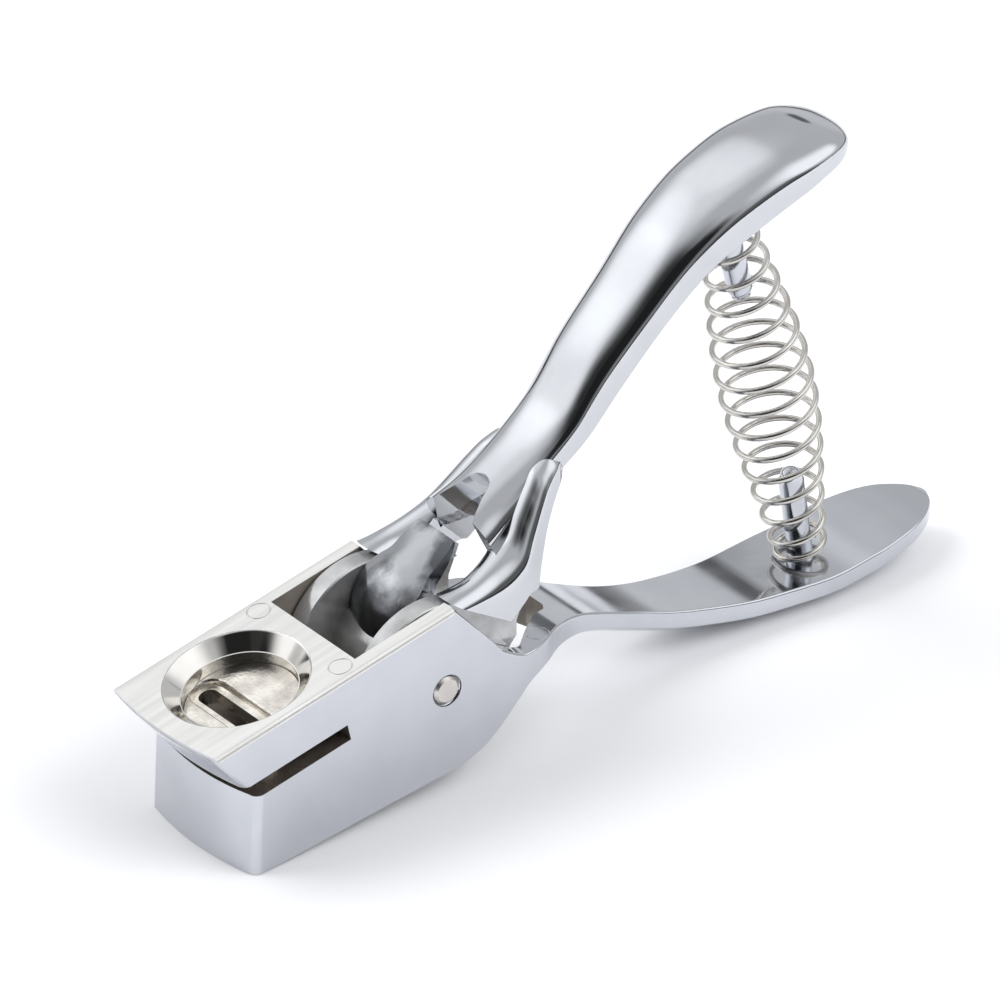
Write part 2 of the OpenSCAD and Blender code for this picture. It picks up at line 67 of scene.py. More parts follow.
# Sizes shared by the pieces, in millimetres
OVERALL = 136.8
HALF_WIDTH = 12.5
LIP_HEIGHT = 21.6
LIP_BULGE = 1.2
JAW_DEPTH = 7.5
THROAT_FLOOR = 10.1
THROAT_REACH = 21.4
CEILING_DEPTH = 12.4
RECESS_U = 12.8
SLOT_U = 10.8
SLOT_LENGTH = 14.3
SLOT_WIDTH = 3.0
DIE_DEPTH = 4.0
WELL_FRONT = 26.0
WELL_HALF = 10.0
WALL_END = 41.8
PIVOT = np.array([39.8, 0.0, 16.7])
PIN_RADIUS = 2.15
LEVER_REACH = 81.6
LEVER_RISE = 58.8
LOWER_SEAT = np.array([112.6, 0.0, 4.64])
UPPER_SEAT = np.array([100.47, 0.0, 66.68])
SPRING_AXIS = UPPER_SEAT - LOWER_SEAT
SPRING_LEAN = math.atan2(SPRING_AXIS[0], SPRING_AXIS[2])

# The plate rises towards the handles by this angle, and PLATE_UP stands square on it
PLATE_TILT = math.radians(10.5)
TILT_COS, TILT_SIN, TILT_TAN = math.cos(PLATE_TILT), math.sin(PLATE_TILT), math.tan(PLATE_TILT)
PLATE_UP = np.array([-TILT_SIN, 0.0, TILT_COS])
ACROSS = np.array([0.0, 1.0, 0.0])

# The CAD frame is in metres, with the middle of the punch at x = 0
MM = 0.001
ORIGIN_X = OVERALL / 2 - LIP_BULGE * TILT_COS

# How far tools reach in front of the head and past its sides
FAR = 40.0
PAST_SIDE = 16.0

# Stations closer together than this count as one
SAME_PLACE = 1e-4

# Most that a rounded corner takes of a bar's half width or of its upright side
CORNER_LIMIT = 0.45


class Carving(Enum):
    """What a tool solid does to the solid that it meets."""

    CUT = "DIFFERENCE"
    KEEP = "INTERSECT"


def plate_point(u: Array, y: Array, w: Array) -> Array:
    """Points u along the plate, y across it and w below it.

    Args:
        u: Distance behind the lip's corners, measured on the plate.
        y: Distance from the middle plane.
        w: Depth below the plate.

    Returns:
        The points as rows of x, y, z.
    """
    u, y, w = np.broadcast_arrays(np.asarray(u, float), np.asarray(y, float), np.asarray(w, float))
    return np.stack([u * TILT_COS + w * TILT_SIN, y, LIP_HEIGHT + u * TILT_SIN - w * TILT_COS], axis=-1)


def plate_outline(points: Rows) -> list[Array]:
    """Side points x, z of points u along the plate and w below it."""
    return [plate_point(u, 0.0, w)[[0, 2]] for u, w in points]


def plate_height(x: Array) -> Array:
    """Height of the plate's plane at x."""
    return LIP_HEIGHT + np.asarray(x, float) * TILT_TAN


def flow(rows: Rows, steps: int) -> Array:
    """Carries a table's columns smoothly through its rows.

    Each column is a cubic between rows, whose slope at a row is the harmonic mean of the differences on both
    sides, or zero where they differ in sign. So straight runs stay straight, nothing overshoots, and a row
    written twice makes a corner.

    Args:
        rows: The table, one row for each station.
        steps: Stations between two rows.

    Returns:
        The finer table, without repeated stations.
    """
    table = np.array(rows, float)
    step = np.diff(table, axis=0)
    before, after = step[:-1], step[1:]
    product = before * after
    total = np.where(product > 0, before + after, 1.0)
    middle = np.where(product > 0, 2 * product / total, 0.0)
    slope = np.vstack([step[:1], middle, step[-1:]])
    f = (np.arange(steps) / steps)[None, :, None]
    a, b = table[:-1, None, :], table[1:, None, :]
    slope_a, slope_b = slope[:-1, None, :], slope[1:, None, :]
    cubic = (
        a * (2 * f**3 - 3 * f**2 + 1)
        + slope_a * (f**3 - 2 * f**2 + f)
        + b * (3 * f**2 - 2 * f**3)
        + slope_b * (f**3 - f**2)
    )
    fine = np.vstack([cubic.reshape(-1, table.shape[1]), table[-1:]])
    moved = np.linalg.norm(np.diff(fine, axis=0), axis=1) > SAME_PLACE
    return fine[np.concatenate([[True], moved])]


def outward(mesh: Mesh) -> Mesh:
    """Turns a closed mesh's faces outwards.

    Args:
        mesh: The mesh, which is changed in place.

    Returns:
        The same mesh.
    """
    work = bmesh.new()
    work.from_mesh(mesh)
    bmesh.ops.recalc_face_normals(work, faces=work.faces)
    work.to_mesh(mesh)
    work.free()
    return mesh


def skin(name: str, rings: Array, closed: bool = False) -> Mesh:
    """Closes a grid of points into a solid, in which each row is a ring.

    Args:
        name: Name of the mesh.
        rings: Points by row, column and coordinate, in millimetres.
        closed: Whether the last ring joins the first; otherwise both are capped.

    Returns:
        The closed mesh.
    """
    rows, columns, _ = rings.shape
    index = np.arange(rows * columns).reshape(rows, columns)
    here, there = (index, np.roll(index, -1, 0)) if closed else (index[:-1], index[1:])
    quads = np.stack([here, np.roll(here, -1, 1), np.roll(there, -1, 1), there], axis=-1).reshape(-1, 4)
    caps = [] if closed else [index[0][::-1].tolist(), index[-1].tolist()]
    mesh = bpy.data.meshes.new(name)
    mesh.from_pydata(rings.reshape(-1, 3).tolist(), [], quads.tolist() + caps)
    return outward(mesh)


def slab(name: str, outline: Rows, half: float) -> Mesh:
    """A side outline drawn out to both sides of the middle plane.

    Args:
        name: Name of the mesh.
        outline: Points x, z.
        half: Half the thickness.

    Returns:
        The closed mesh.
    """
    points = np.array(outline, float)
    left = np.stack([points[:, 0], np.full(len(points), -half), points[:, 1]], axis=-1)
    right = left * [1.0, -1.0, 1.0]
    return skin(name, np.stack([left, right]))


def tower(name: str, outline: Rows, low: float, high: float) -> Mesh:
    """A plan outline drawn upright.

    Args:
        name: Name of the mesh.
        outline: Points x, y.
        low: Height of the lower end.
        high: Height of the upper end.

    Returns:
        The closed mesh.
    """
    points = np.array(outline, float)
    rings = [np.column_stack([points, np.full(len(points), z)]) for z in (low, high)]
    return skin(name, np.stack(rings))


def turned(name: str, profile: Rows, centre: Array, axis: Array, segments: int = 96) -> Mesh:
    """A turned solid: a profile of radius and height carried round an axis.

    A point is centre + height * axis + radius * (cos a * side + sin a * other) for the turn a.

    Args:
        name: Name of the mesh.
        profile: Rows of radius and height along the axis.
        centre: Point of height zero.
        axis: Direction of the axis.
        segments: Number of steps round.

    Returns:
        The closed mesh.
    """
    axis = np.asarray(axis, float) / np.linalg.norm(axis)
    nearly_across = 0.9
    helper = ACROSS if abs(axis[1]) < nearly_across else np.array([1.0, 0.0, 0.0])
    side = np.cross(helper, axis)
    side /= np.linalg.norm(side)
    other = np.cross(axis, side)
    turn = np.linspace(0, 2 * math.pi, segments, endpoint=False)
    radius, height = np.array(profile, float).T
    spokes = np.cos(turn)[:, None] * side + np.sin(turn)[:, None] * other
    rings = centre + height[:, None, None] * axis + radius[:, None, None] * spokes[None]
    return skin(name, rings)


def obround_ring(length: float, width: float, steps: int = 16) -> Array:
    """An outline with round ends, long across the punch.

    Args:
        length: Length over both ends.
        width: Width, twice the radius of the ends.
        steps: Points on each end.

    Returns:
        Points x, y.
    """
    turn = np.linspace(0, math.pi, steps)
    end = np.column_stack([width / 2 * np.cos(turn), (length - width) / 2 + width / 2 * np.sin(turn)])
    return np.vstack([end, -end])


def plate_obround(name: str, sizes: Rows, u: float) -> Mesh:
    """An obround pit in the plate.

    Args:
        name: Name of the mesh.
        sizes: Rows of length, width and depth below the plate.
        u: Place of the middle along the plate.

    Returns:
        The closed mesh.
    """
    rings = []
    for length, width, depth in sizes:
        outline = obround_ring(length, width)
        rings.append(plate_point(u + outline[:, 0], outline[:, 1], depth))
    return skin(name, np.stack(rings))


def carve(mesh: Mesh, tool: Mesh, what: Carving) -> Mesh:
    """Cuts one solid by another, or keeps what they share.

    Args:
        mesh: The solid that is worked on.
        tool: The other solid.
        what: What the other solid does.

    Returns:
        The new mesh.

    Raises:
        ValueError: Nothing is left of the solid.
    """
    work = bpy.data.objects.new("work", mesh)
    cutter = bpy.data.objects.new("cutter", tool)
    for item in (work, cutter):
        bpy.context.scene.collection.objects.link(item)
    step = work.modifiers.new("carve", "BOOLEAN")
    step.operation = what.value
    step.solver = "EXACT"
    step.object = cutter
    bpy.context.view_layer.update()
    depsgraph = bpy.context.evaluated_depsgraph_get()
    result = bpy.data.meshes.new_from_object(work.evaluated_get(depsgraph), depsgraph=depsgraph)
    result.name = mesh.name
    for item in (work, cutter):
        bpy.data.objects.remove(item)
    if not result.polygons:
        raise ValueError(f"nothing is left of {mesh.name}")
    return result


def gathered(name: str, meshes: Sequence[Mesh]) -> Mesh:
    """One mesh that holds several solids side by side.

    Args:
        name: Name of the mesh.
        meshes: The solids, whose faces keep their order.

    Returns:
        The new mesh.
    """
    work = bmesh.new()
    for mesh in meshes:
        work.from_mesh(mesh)
    whole = bpy.data.meshes.new(name)
    work.to_mesh(whole)
    work.free()
    return whole


def face_facts(mesh: Mesh) -> tuple[Array, Array]:
    """Looks up where a mesh's faces lie and where they look.

    Args:
        mesh: The mesh.

    Returns:
        Centres and normals of the faces.
    """
    count = len(mesh.polygons)
    centres, normals = np.zeros(count * 3), np.zeros(count * 3)
    mesh.polygons.foreach_get("center", centres)
    mesh.polygons.foreach_get("normal", normals)
    return centres.reshape(-1, 3), normals.reshape(-1, 3)


@dataclass
class Bar:
    """A bar with one flat face, upright sides with rounded corners, and a crowned outer face.

    Attributes:
        inner: Middle of the flat face, by station.
        outer: Top of the crown, by station.
        half: Half the width, by station.
        band: Share of the thickness that the upright sides take.
        edge: Radius of the corners of the flat face.
        full: Share of a half ellipse in the crown; the rest is flatter, with a crease at the sides.
        turn: Turn of the flatter crown at its edges, in degrees.
        squareness: Power of the fuller crown: 1 is a half ellipse, and less is squarer.
        corner_steps: Points on each rounded corner.
        crown_steps: Points on the crown.
    """

    inner: Array
    outer: Array
    half: Array
    band: Array
    edge: Array
    full: Array
    turn: float = 78.0
    squareness: float = 1.0
    corner_steps: int = 5
    crown_steps: int = 33

    def rings(self) -> Array:
        """Rings of points round the bar.

        A point is inner + height * up + across * y. On the corners, across and height follow a quarter
        circle. On the crown, across is half * s and height is the band plus a share of what is left. There
        s = sin(a) ** squareness for a from one side to the other, and the share is cos(a) ** squareness on
        the fuller crown and (cos(turn s) - cos(turn)) / (1 - cos(turn)) on the flatter one.

        Returns:
            Points by station, place round the bar and coordinate.
        """
        rise = self.outer - self.inner
        thick = np.linalg.norm(rise, axis=1, keepdims=True)
        up = rise / thick
        half, band = self.half[:, None], self.band[:, None]
        edge = np.minimum(self.edge[:, None], CORNER_LIMIT * np.minimum(half, thick * band))
        quarter = np.linspace(0, math.pi / 2, self.corner_steps)[None]
        corner_across = half - edge + edge * np.sin(quarter)
        corner_height = edge * (1 - np.cos(quarter))
        a = np.linspace(math.pi / 2, -math.pi / 2, self.crown_steps)[None]
        s = np.sign(a) * np.abs(np.sin(a)) ** self.squareness
        turn = math.radians(self.turn)
        flatter = (np.cos(turn * s) - math.cos(turn)) / (1 - math.cos(turn))
        fuller = np.maximum(np.cos(a), 0) ** self.squareness
        share = self.full[:, None] * fuller + (1 - self.full[:, None]) * flatter
        crown_height = thick * (band + (1 - band) * share)
        across = np.hstack([corner_across, half * s, -corner_across[:, ::-1]])
        height = np.hstack([corner_height, crown_height, corner_height[:, ::-1]])
        points = self.inner[:, None] + height[..., None] * up[:, None]
        points[..., 1] += across
        return points


def feed(tree: Tree, node: bpy.types.Node, inputs: dict[Any, Any]) -> None:
    """Sets constants on a node's sockets, or links them from other nodes.

    Args:
        tree: Tree of the node.
        node: The node.
        inputs: A constant or another node's output for each input, by its name or number.
    """
    for label, value in inputs.items():
        if isinstance(value, bpy.types.NodeSocket):
            tree.links.new(value, node.inputs[label])
        else:
            node.inputs[label].default_value = value


def add_node(tree: Tree, kind: str, inputs: dict[Any, Any], **options: Any) -> bpy.types.Node:
    """Adds a node to a tree.

    Args:
        tree: The tree.
        kind: Type of the node.
        inputs: A constant or another node's output for each input, by its name or number.
        **options: Other settings of the node.

    Returns:
        The new node.
    """
    node = tree.nodes.new(kind)
    for name, value in options.items():
        setattr(node, name, value)
    feed(tree, node, inputs)
    return node


class Wear:
    """Shader node groups that more than one finish uses."""

    def __init__(self) -> None:
        """Builds each group once."""
        self.handling = self._handling()
        self.brushing = self._brushing()

    @staticmethod
    def _new_group(name: str, inputs: dict[str, float], outputs: Sequence[str]) -> Tree:
        """An empty node group with float inputs and outputs.

        Args:
            name: Name of the group.
            inputs: Name and default value of each input.
            outputs: Name of each output.

        Returns:
            The node group.
        """
        group = bpy.data.node_groups.new(name, "ShaderNodeTree")
        for label, value in inputs.items():
            socket = group.interface.new_socket(name=label, in_out="INPUT", socket_type="NodeSocketFloat")
            socket.default_value = value
        for label in outputs:
            group.interface.new_socket(name=label, in_out="OUTPUT", socket_type="NodeSocketFloat")
        group.nodes.new("NodeGroupInput").name = "in"
        group.nodes.new("NodeGroupOutput").name = "out"
        return group

    @staticmethod
    def _add_noise(group: Tree, place: bpy.types.NodeSocket, scale: str, detail: float, output: str) -> None:
        """Adds a noise to a group.

        Args:
            group: The node group.
            place: Coordinates of the noise.
            scale: Group input that gives its scale.
            detail: Its detail.
            output: Group output that it feeds.
        """
        inputs = {"Detail": detail, "Vector": place, "Scale": group.nodes["in"].outputs[scale]}
        noise = add_node(group, "ShaderNodeTexNoise", inputs)
        feed(group, group.nodes["out"], {output: noise.outputs["Fac"]})

    def _handling(self) -> Tree:
        """Soft smudges, the slow waves of a polished casting, and fine pits, on object coordinates.

        Returns:
            The node group.
        """
        scales = {"Smudge Scale": 160.0, "Wave Scale": 110.0, "Pit Scale": 2600.0}
        group = self._new_group("handling_wear", scales, ["Smudge", "Waves", "Pits"])
        place = add_node(group, "ShaderNodeTexCoord", {}).outputs["Object"]
        for output, scale, detail in zip(("Smudge", "Waves", "Pits"), scales, (5.0, 0.0, 2.0)):
            self._add_noise(group, place, scale, detail, output)
        return group

    def _brushing(self) -> Tree:
        """Fine lines left by a belt that ran along the plate, on object coordinates stretched along x.

        Returns:
            The node group.
        """
        group = self._new_group("belt_brushing", {"Line Scale": 1.0}, ["Lines", "Streaks"])
        place = add_node(group, "ShaderNodeTexCoord", {}).outputs["Object"]
        for output, stretch in (("Lines", (120.0, 5200.0, 900.0)), ("Streaks", (40.0, 900.0, 200.0))):
            inputs = {"Scale": stretch, "Rotation": (0.0, PLATE_TILT, 0.0), "Vector": place}
            squeeze = add_node(group, "ShaderNodeMapping", inputs)
            self._add_noise(group, squeeze.outputs["Vector"], "Line Scale", 3.0, output)
        return group


@dataclass(frozen=True)
class MetalFinish:
    """A metal surface: its colour, how far it varies, and how fine its marks are.

    Attributes:
        name: Name of the material.
        colour: Colour of the clean metal.
        stain: Colour where it is handled or grainy.
        rough: Lowest and highest roughness.
        wave: Depth of the slow waves, in metres.
        pit: Depth of the pits, in metres.
        pit_scale: Pits per metre.
        brushed: Depth of the brushed lines, in metres.
        smudge_scale: Smudges per metre.
        patch: Values of the noise between which the colour turns from clean to stained.
        metallic: Share of metal; less keeps some of the colour out of the reflections.
    """

    name: str
    colour: tuple[float, float, float]
    stain: tuple[float, float, float]
    rough: tuple[float, float]
    wave: float = 0.0
    pit: float = 0.0
    pit_scale: float = 2600.0
    brushed: float = 0.0
    smudge_scale: float = 160.0
    patch: tuple[float, float] = (0.35, 0.7)
    metallic: float = 1.0

    def material(self, wear: Wear) -> bpy.types.Material:
        """Builds the material's nodes.

        Args:
            wear: The shared node groups.

        Returns:
            The material.
        """
        made = bpy.data.materials.new(self.name)
        made.use_nodes = True
        tree = made.node_tree
        scales = {"Smudge Scale": self.smudge_scale, "Pit Scale": self.pit_scale}
        handling = add_node(tree, "ShaderNodeGroup", scales, node_tree=wear.handling)
        brushing = add_node(tree, "ShaderNodeGroup", {}, node_tree=wear.brushing)
        marks = brushing.outputs["Streaks"] if self.brushed else handling.outputs["Smudge"]
        low, high = self.patch
        span = {"From Min": low, "From Max": high, "Value": marks}
        mask = add_node(tree, "ShaderNodeMapRange", span).outputs["Result"]
        colours = {"A": (*self.colour, 1.0), "B": (*self.stain, 1.0), "Factor": mask}
        tint = add_node(tree, "ShaderNodeMix", colours, data_type="RGBA")
        low, high = self.rough
        rough = add_node(tree, "ShaderNodeMapRange", {"To Min": low, "To Max": high, "Value": mask})
        reliefs = (
            (handling.outputs["Waves"], self.wave),
            (handling.outputs["Pits"], self.pit),
            (brushing.outputs["Lines"], self.brushed),
        )
        normal: dict[str, bpy.types.NodeSocket] = {}
        for height, depth in reliefs:
            if depth:
                inputs = {"Distance": depth, "Strength": 1.0, "Height": height, **normal}
                normal = {"Normal": add_node(tree, "ShaderNodeBump", inputs).outputs["Normal"]}
        surface = {"Base Color": tint.outputs["Result"], "Roughness": rough.outputs["Result"]}
        feed(tree, tree.nodes["Principled BSDF"], {"Metallic": self.metallic, **surface, **normal})
        return made


class Finish(Enum):
    """The finishes of the punch."""

    CHROME = MetalFinish(
        "polished_chrome", (0.615, 0.63, 0.665), (0.585, 0.60, 0.64), (0.07, 0.14), wave=0.00002
    )
    PLATE = MetalFinish(
        "brushed_plate",
        (0.84, 0.835, 0.815),
        (0.75, 0.74, 0.715),
        (0.28, 0.42),
        brushed=0.000010,
        metallic=0.7,
    )
    # Partly painted shade: the brownish tone is the plated casting's own, but it is made darker than the
    # chrome to stand in for the shade on the well's walls.
    CASTING_AND_WELL_SHADE = MetalFinish(
        "plated_casting_with_painted_well_shade",
        (0.42, 0.38, 0.34),
        (0.28, 0.25, 0.22),
        (0.28, 0.50),
        pit=0.00003,
        pit_scale=900.0,
        metallic=0.5,
    )
    # Painted shade: the card throat's faces are coloured near black, standing in for the shade inside the
    # narrow slot.
    THROAT_PAINTED_SHADE = MetalFinish(
        "throat_painted_shade", (0.20, 0.17, 0.14), (0.10, 0.08, 0.07), (0.25, 0.45), pit=0.00002, metallic=0.6
    )
    CONE = MetalFinish("turned_cone", (0.80, 0.78, 0.75), (0.70, 0.68, 0.65), (0.05, 0.13))
    DIE = MetalFinish(
        "grainy_nickel_die",
        (0.90, 0.86, 0.79),
        (0.55, 0.51, 0.46),
        (0.16, 0.32),
        pit=0.00004,
        pit_scale=2200.0,
        smudge_scale=260.0,
    )
    LEVER = MetalFinish(
        "polished_lever", (0.63, 0.645, 0.67), (0.60, 0.61, 0.64), (0.06, 0.12), wave=0.00001
    )
    TONGUE = MetalFinish(
        "scratched_chrome",
        (0.46, 0.47, 0.49),
        (0.13, 0.135, 0.145),
        (0.08, 0.22),
        wave=0.00002,
        pit=0.00002,
        pit_scale=900.0,
        smudge_scale=100.0,
        patch=(0.45, 0.56),
    )
    HUB = MetalFinish(
        "plated_hub",
        (0.58, 0.585, 0.59),
        (0.38, 0.38, 0.375),
        (0.12, 0.28),
        pit=0.00001,
        patch=(0.42, 0.66),
        metallic=0.65,
    )
    NICKEL = MetalFinish("turned_nickel", (0.74, 0.71, 0.68), (0.64, 0.61, 0.58), (0.22, 0.36), pit=0.00001)
    WIRE = MetalFinish("bright_wire", (0.68, 0.66, 0.62), (0.56, 0.54, 0.51), (0.06, 0.14))
    STEEL = MetalFinish("ground_steel", (0.20, 0.19, 0.18), (0.12, 0.11, 0.10), (0.30, 0.45), pit=0.00001)


class Workshop:
    """Dresses finished meshes and sets them into the CAD frame."""

    def __init__(self) -> None:
        """Builds the shared node groups; materials are made when first asked for."""
        self.wear = Wear()
        self.made: dict[Finish, bpy.types.Material] = {}

    def material(self, finish: Finish) -> bpy.types.Material:
        """The material of a finish, built once.

        Args:
            finish: The finish.

        Returns:
            Its material.
        """
        if finish not in self.made:
            self.made[finish] = finish.value.material(self.wear)
        return self.made[finish]

    def settle(
        self,
        mesh: Mesh,
        name: str,
        nodes: Sequence[str],
        finishes: Sequence[Finish],
        body: Optional[str] = None,
        crease: float = 32.0,
    ) -> Object:
        """Makes a mesh in millimetres into a piece of the CAD frame, smooth between its creases.

        Args:
            mesh: The finished mesh.
            name: Name of the piece.
            nodes: CAD nodes that the piece stands for.
            finishes: Finish of each material index.
            body: CAD body that the piece moves with, if it moves with one.
            crease: Angle of the least edge that stays sharp, in degrees.

        Returns:
            The piece.
        """
        mesh.transform(Matrix.Scale(MM, 4) @ Matrix.Translation((-ORIGIN_X, 0.0, 0.0)))
        for finish in finishes:
            mesh.materials.append(self.material(finish))
        mesh.polygons.foreach_set("use_smooth", np.ones(len(mesh.polygons), bool))
        mesh.set_sharp_from_angle(angle=math.radians(crease))
        work = bpy.data.objects.new("settling", mesh)
        bpy.context.scene.collection.objects.link(work)
        weigh = work.modifiers.new("weigh", "WEIGHTED_NORMAL")
        weigh.keep_sharp = True
        bpy.context.view_layer.update()
        depsgraph = bpy.context.evaluated_depsgraph_get()
        final = bpy.data.meshes.new_from_object(work.evaluated_get(depsgraph), depsgraph=depsgraph)
        bpy.data.objects.remove(work)
        final.name = name
        piece = bpy.data.objects.new(name, final)
        bpy.context.scene.collection.objects.link(piece)
        if body is not None:
            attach(piece, body)
        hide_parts(*nodes)
        LOG.info("%s: %d faces, in place of %s", name, len(final.polygons), ", ".join(nodes))
        return piece


@dataclass
class BodyCasting:
    """The head and the lower handle, one casting.

    Attributes:
        head_rows: Rows of place along x, height of the upper face, lower edge of the sides, lowest point of
            the crown, half width and radius of the upper corners, behind the side walls.
        handle_rows: The same for the lower handle.
        plate_edge: Radius of the plate's long edges.
        wall_foot: Height of the sides' lower edge at the end of the side walls.
        crown_full: Share of a half ellipse in the crown.
        box_front: Place of the lower box's front at the table.
        box_lean: Angle by which that front leans back, in degrees.
        box_bulge: How far that front is bowed.
        box_corner: Radius of its upright corners.
        box_wall: Thickness of its front wall.
        lip_thickness: Height of the lip's upright edge.
        lip_rake: How far the jaw's front leans back below the lip.
        lip_corner: Radius at the lower corners of the jaw's front.
        recess_radius: Radius of the recess at the plate.
        bore_radius: Radius of the die's bore.
        cone_depth: Depth of the recess's cone.
        rim: Size of the recess's rounded rim.
        mark_radius: Radius of the round witness marks.
        mark_start: Turn of their first station, which keeps it off the bar's edges, in radians.
        groove: Half the width of their ring grooves.
        groove_depth: Half the height of the ring that cuts a groove.
        groove_sink: How far that ring's middle lies below the surface.
        plate_marks: Place along the plate and across it of the marks on the plate.
        pocket_marks: Place along x, across and height of the marks behind the well.
        pocket_slope: Lean of those marks' axes along x, for a rise of 1.
        well_tail: Points x and half width at which the well and the pocket behind it narrow.
    """

    head_rows: Table = field(
        default_factory=lambda: [
            (45.3, 24.99, 4.7, 4.7, HALF_WIDTH, 0.5),
            (48.3, 21.26, 6.7, 6.2, HALF_WIDTH, 0.5),
            (49.81, 19.38, 8.0, 6.8, HALF_WIDTH, 0.5),
            (51.2, 18.4, 9.3, 7.1, HALF_WIDTH, 0.45),
            (52.6, 17.55, 10.6, 7.5, HALF_WIDTH, 0.45),
            (54.0, 17.05, 11.95, 7.95, 12.46, 0.4),
            (55.5, 16.95, 12.75, 8.45, 12.25, 0.4),
        ]
    )
    handle_rows: Table = field(
        default_factory=lambda: [
            (58.6, 16.92, 13.2, 9.69, 11.0, 0.4),
            (62.0, 16.66, 13.3, 10.4, 9.0, 0.4),
            (67.2, 15.3, 12.4, 9.95, 6.7, 0.4),
            (72.3, 13.1, 10.5, 8.3, 5.4, 0.4),
            (79.1, 10.2, 7.6, 5.44, 4.9, 0.4),
            (88.5, 7.14, 4.5, 2.3, 5.7, 0.4),
            (101.4, 4.93, 2.35, 0.2, 7.3, 0.4),
            (112.5, 4.6, 2.1, 0.02, 8.5, 0.4),
            (120.2, 5.36, 2.8, 0.6, 8.56, 0.4),
            (127.0, 6.0, 3.7, 1.7, 7.6, 0.4),
            (131.75, 6.3, 4.4, 2.8, 5.5, 0.4),
            (134.7, 6.3, 4.9, 3.74, 2.6, 0.3),
            (135.55, 6.3, 5.1, 4.08, 0.6, 0.1),
        ]
    )
    plate_edge: float = 0.8
    wall_foot: float = 3.5
    crown_full: float = 0.3
    box_front: float = 3.8
    box_lean: float = 5.6
    box_bulge: float = 1.6
    box_corner: float = 1.5
    box_wall: float = 3.2
    lip_thickness: float = 0.8
    lip_rake: float = 3.2
    lip_corner: float = 1.3
    recess_radius: float = 10.7
    bore_radius: float = 8.45
    cone_depth: float = 2.2
    rim: float = 0.25
    mark_radius: float = 1.7
    mark_start: float = 0.031
    groove: float = 0.11
    groove_depth: float = 0.09
    groove_sink: float = 0.013
    plate_marks: tuple[float, float] = (24.03, 9.73)
    pocket_marks: tuple[float, float, float] = (58.6, 8.8, 16.92)
    pocket_slope: float = 0.04
    well_tail: Table = field(
        default_factory=lambda: [(54.4, 10.0), (58.0, 6.8), (61.0, 4.5), (63.8, 3.3), (64.6, 2.0)]
    )

    def bar(self) -> Mesh:
        """The head and handle as one bar, from the front of the lip to the tail.

        Returns:
            The bar, which has a corner where a row stands twice.
        """
        foot, edge = self.wall_foot, self.plate_edge
        head = [(x, plate_height(x), 0.0, 0.0, HALF_WIDTH, edge) for x in (-2.6, 6.6, 6.6)]
        head += 2 * [(WALL_END, plate_height(WALL_END), foot, foot, HALF_WIDTH, edge)]
        x, flat, sides, crown, half, corner = flow(head + self.head_rows + self.handle_rows, 8).T
        zero = np.zeros_like(x)
        band = (flat - sides) / np.maximum(flat - crown, 0.1)
        inner = np.column_stack([x, zero, flat])
        outer = np.column_stack([x, zero, crown])
        full = np.full_like(x, self.crown_full)
        return skin("body_bar", Bar(inner, outer, half, np.minimum(band, 1.0), corner, full).rings())

    def lip_tool(self) -> Mesh:
        """What is cut away in front of the jaw.

        The jaw's face stands out by the bulge times 1 - (y / half width) ** 2 and leans back below the lip.
        Near the sides its lower edge turns back on a quarter circle, where the stations lie closer together.

        Returns:
            The tool.
        """
        corner_start, corner_run = 11.0, 1.6
        bend = np.clip((np.linspace(0, 1, 60) - 0.5) * 2, 0, 1)
        near = corner_start + corner_run * np.sqrt(bend)
        half = np.unique(np.concatenate([np.linspace(0, corner_start, 20), near, [14.0, PAST_SIDE]]))
        y = np.concatenate([-half[:0:-1], half])
        face = -LIP_BULGE * (1 - (y / HALF_WIDTH) ** 2)
        past = np.clip((np.abs(y) - (HALF_WIDTH - self.lip_corner)) / self.lip_corner, 0, 0.995)
        rounding = self.lip_corner * (1 - np.sqrt(1 - past**2))
        above, deep = -8.0, JAW_DEPTH + 1.4
        lean = self.lip_rake * (deep - self.lip_thickness) / (JAW_DEPTH - self.lip_thickness)
        rings = [plate_point(np.full_like(y, -FAR / 2), y, above)]
        rings += [plate_point(face, y, w) for w in (above, self.lip_thickness)]
        rings += [plate_point(face + lean + rounding, y, deep)]
        rings += [plate_point(np.full_like(y, -FAR / 2), y, deep)]
        return skin("lip_tool", np.stack(rings, axis=1))

    def box_outline(self) -> Array:
        """Plan of the lower box's front: a circular bow whose corners are quarter circles.

        Returns:
            Points x, y from one side to the other.
        """
        bulge_radius = (HALF_WIDTH**2 + self.box_bulge**2) / (2 * self.box_bulge)
        corner_y = HALF_WIDTH - self.box_corner * 0.985
        bow_y = np.linspace(0, corner_y * 0.96, 24)
        bow = np.column_stack([bulge_radius - np.sqrt(bulge_radius**2 - bow_y**2), bow_y])
        corner_x = bulge_radius - math.sqrt(bulge_radius**2 - corner_y**2) + self.box_corner
        turn = np.linspace(math.radians(8), math.pi / 2, 12)
        corner_out = corner_x - self.box_corner * np.cos(turn)
        corner = np.column_stack([corner_out, corner_y + self.box_corner * np.sin(turn)])
        half = np.vstack([bow, corner, [[corner_x, PAST_SIDE]]])
        return np.vstack([half[:0:-1] * [1, -1], half])

    def box_tool(self) -> Mesh:
        """What is cut away in front of the lower box, which leans back as it rises to the throat.

        Returns:
            The tool, which ends inside the throat's height.
        """
        slope = math.tan(math.radians(self.box_lean))
        plan = np.vstack([[[-FAR / 2, -PAST_SIDE]], self.box_outline(), [[-FAR / 2, PAST_SIDE]]])
        x, y = plan[:, 0] + self.box_front, plan[:, 1]
        low = np.full(len(x), -6.0)
        middle = (JAW_DEPTH + THROAT_FLOOR) / 2 / TILT_COS
        high = (LIP_HEIGHT - middle + x * TILT_TAN) / (1 - slope * TILT_TAN)
        rings = [np.column_stack([x + z * slope, y, z]) for z in (low, high)]
        return skin("box_tool", np.stack(rings))

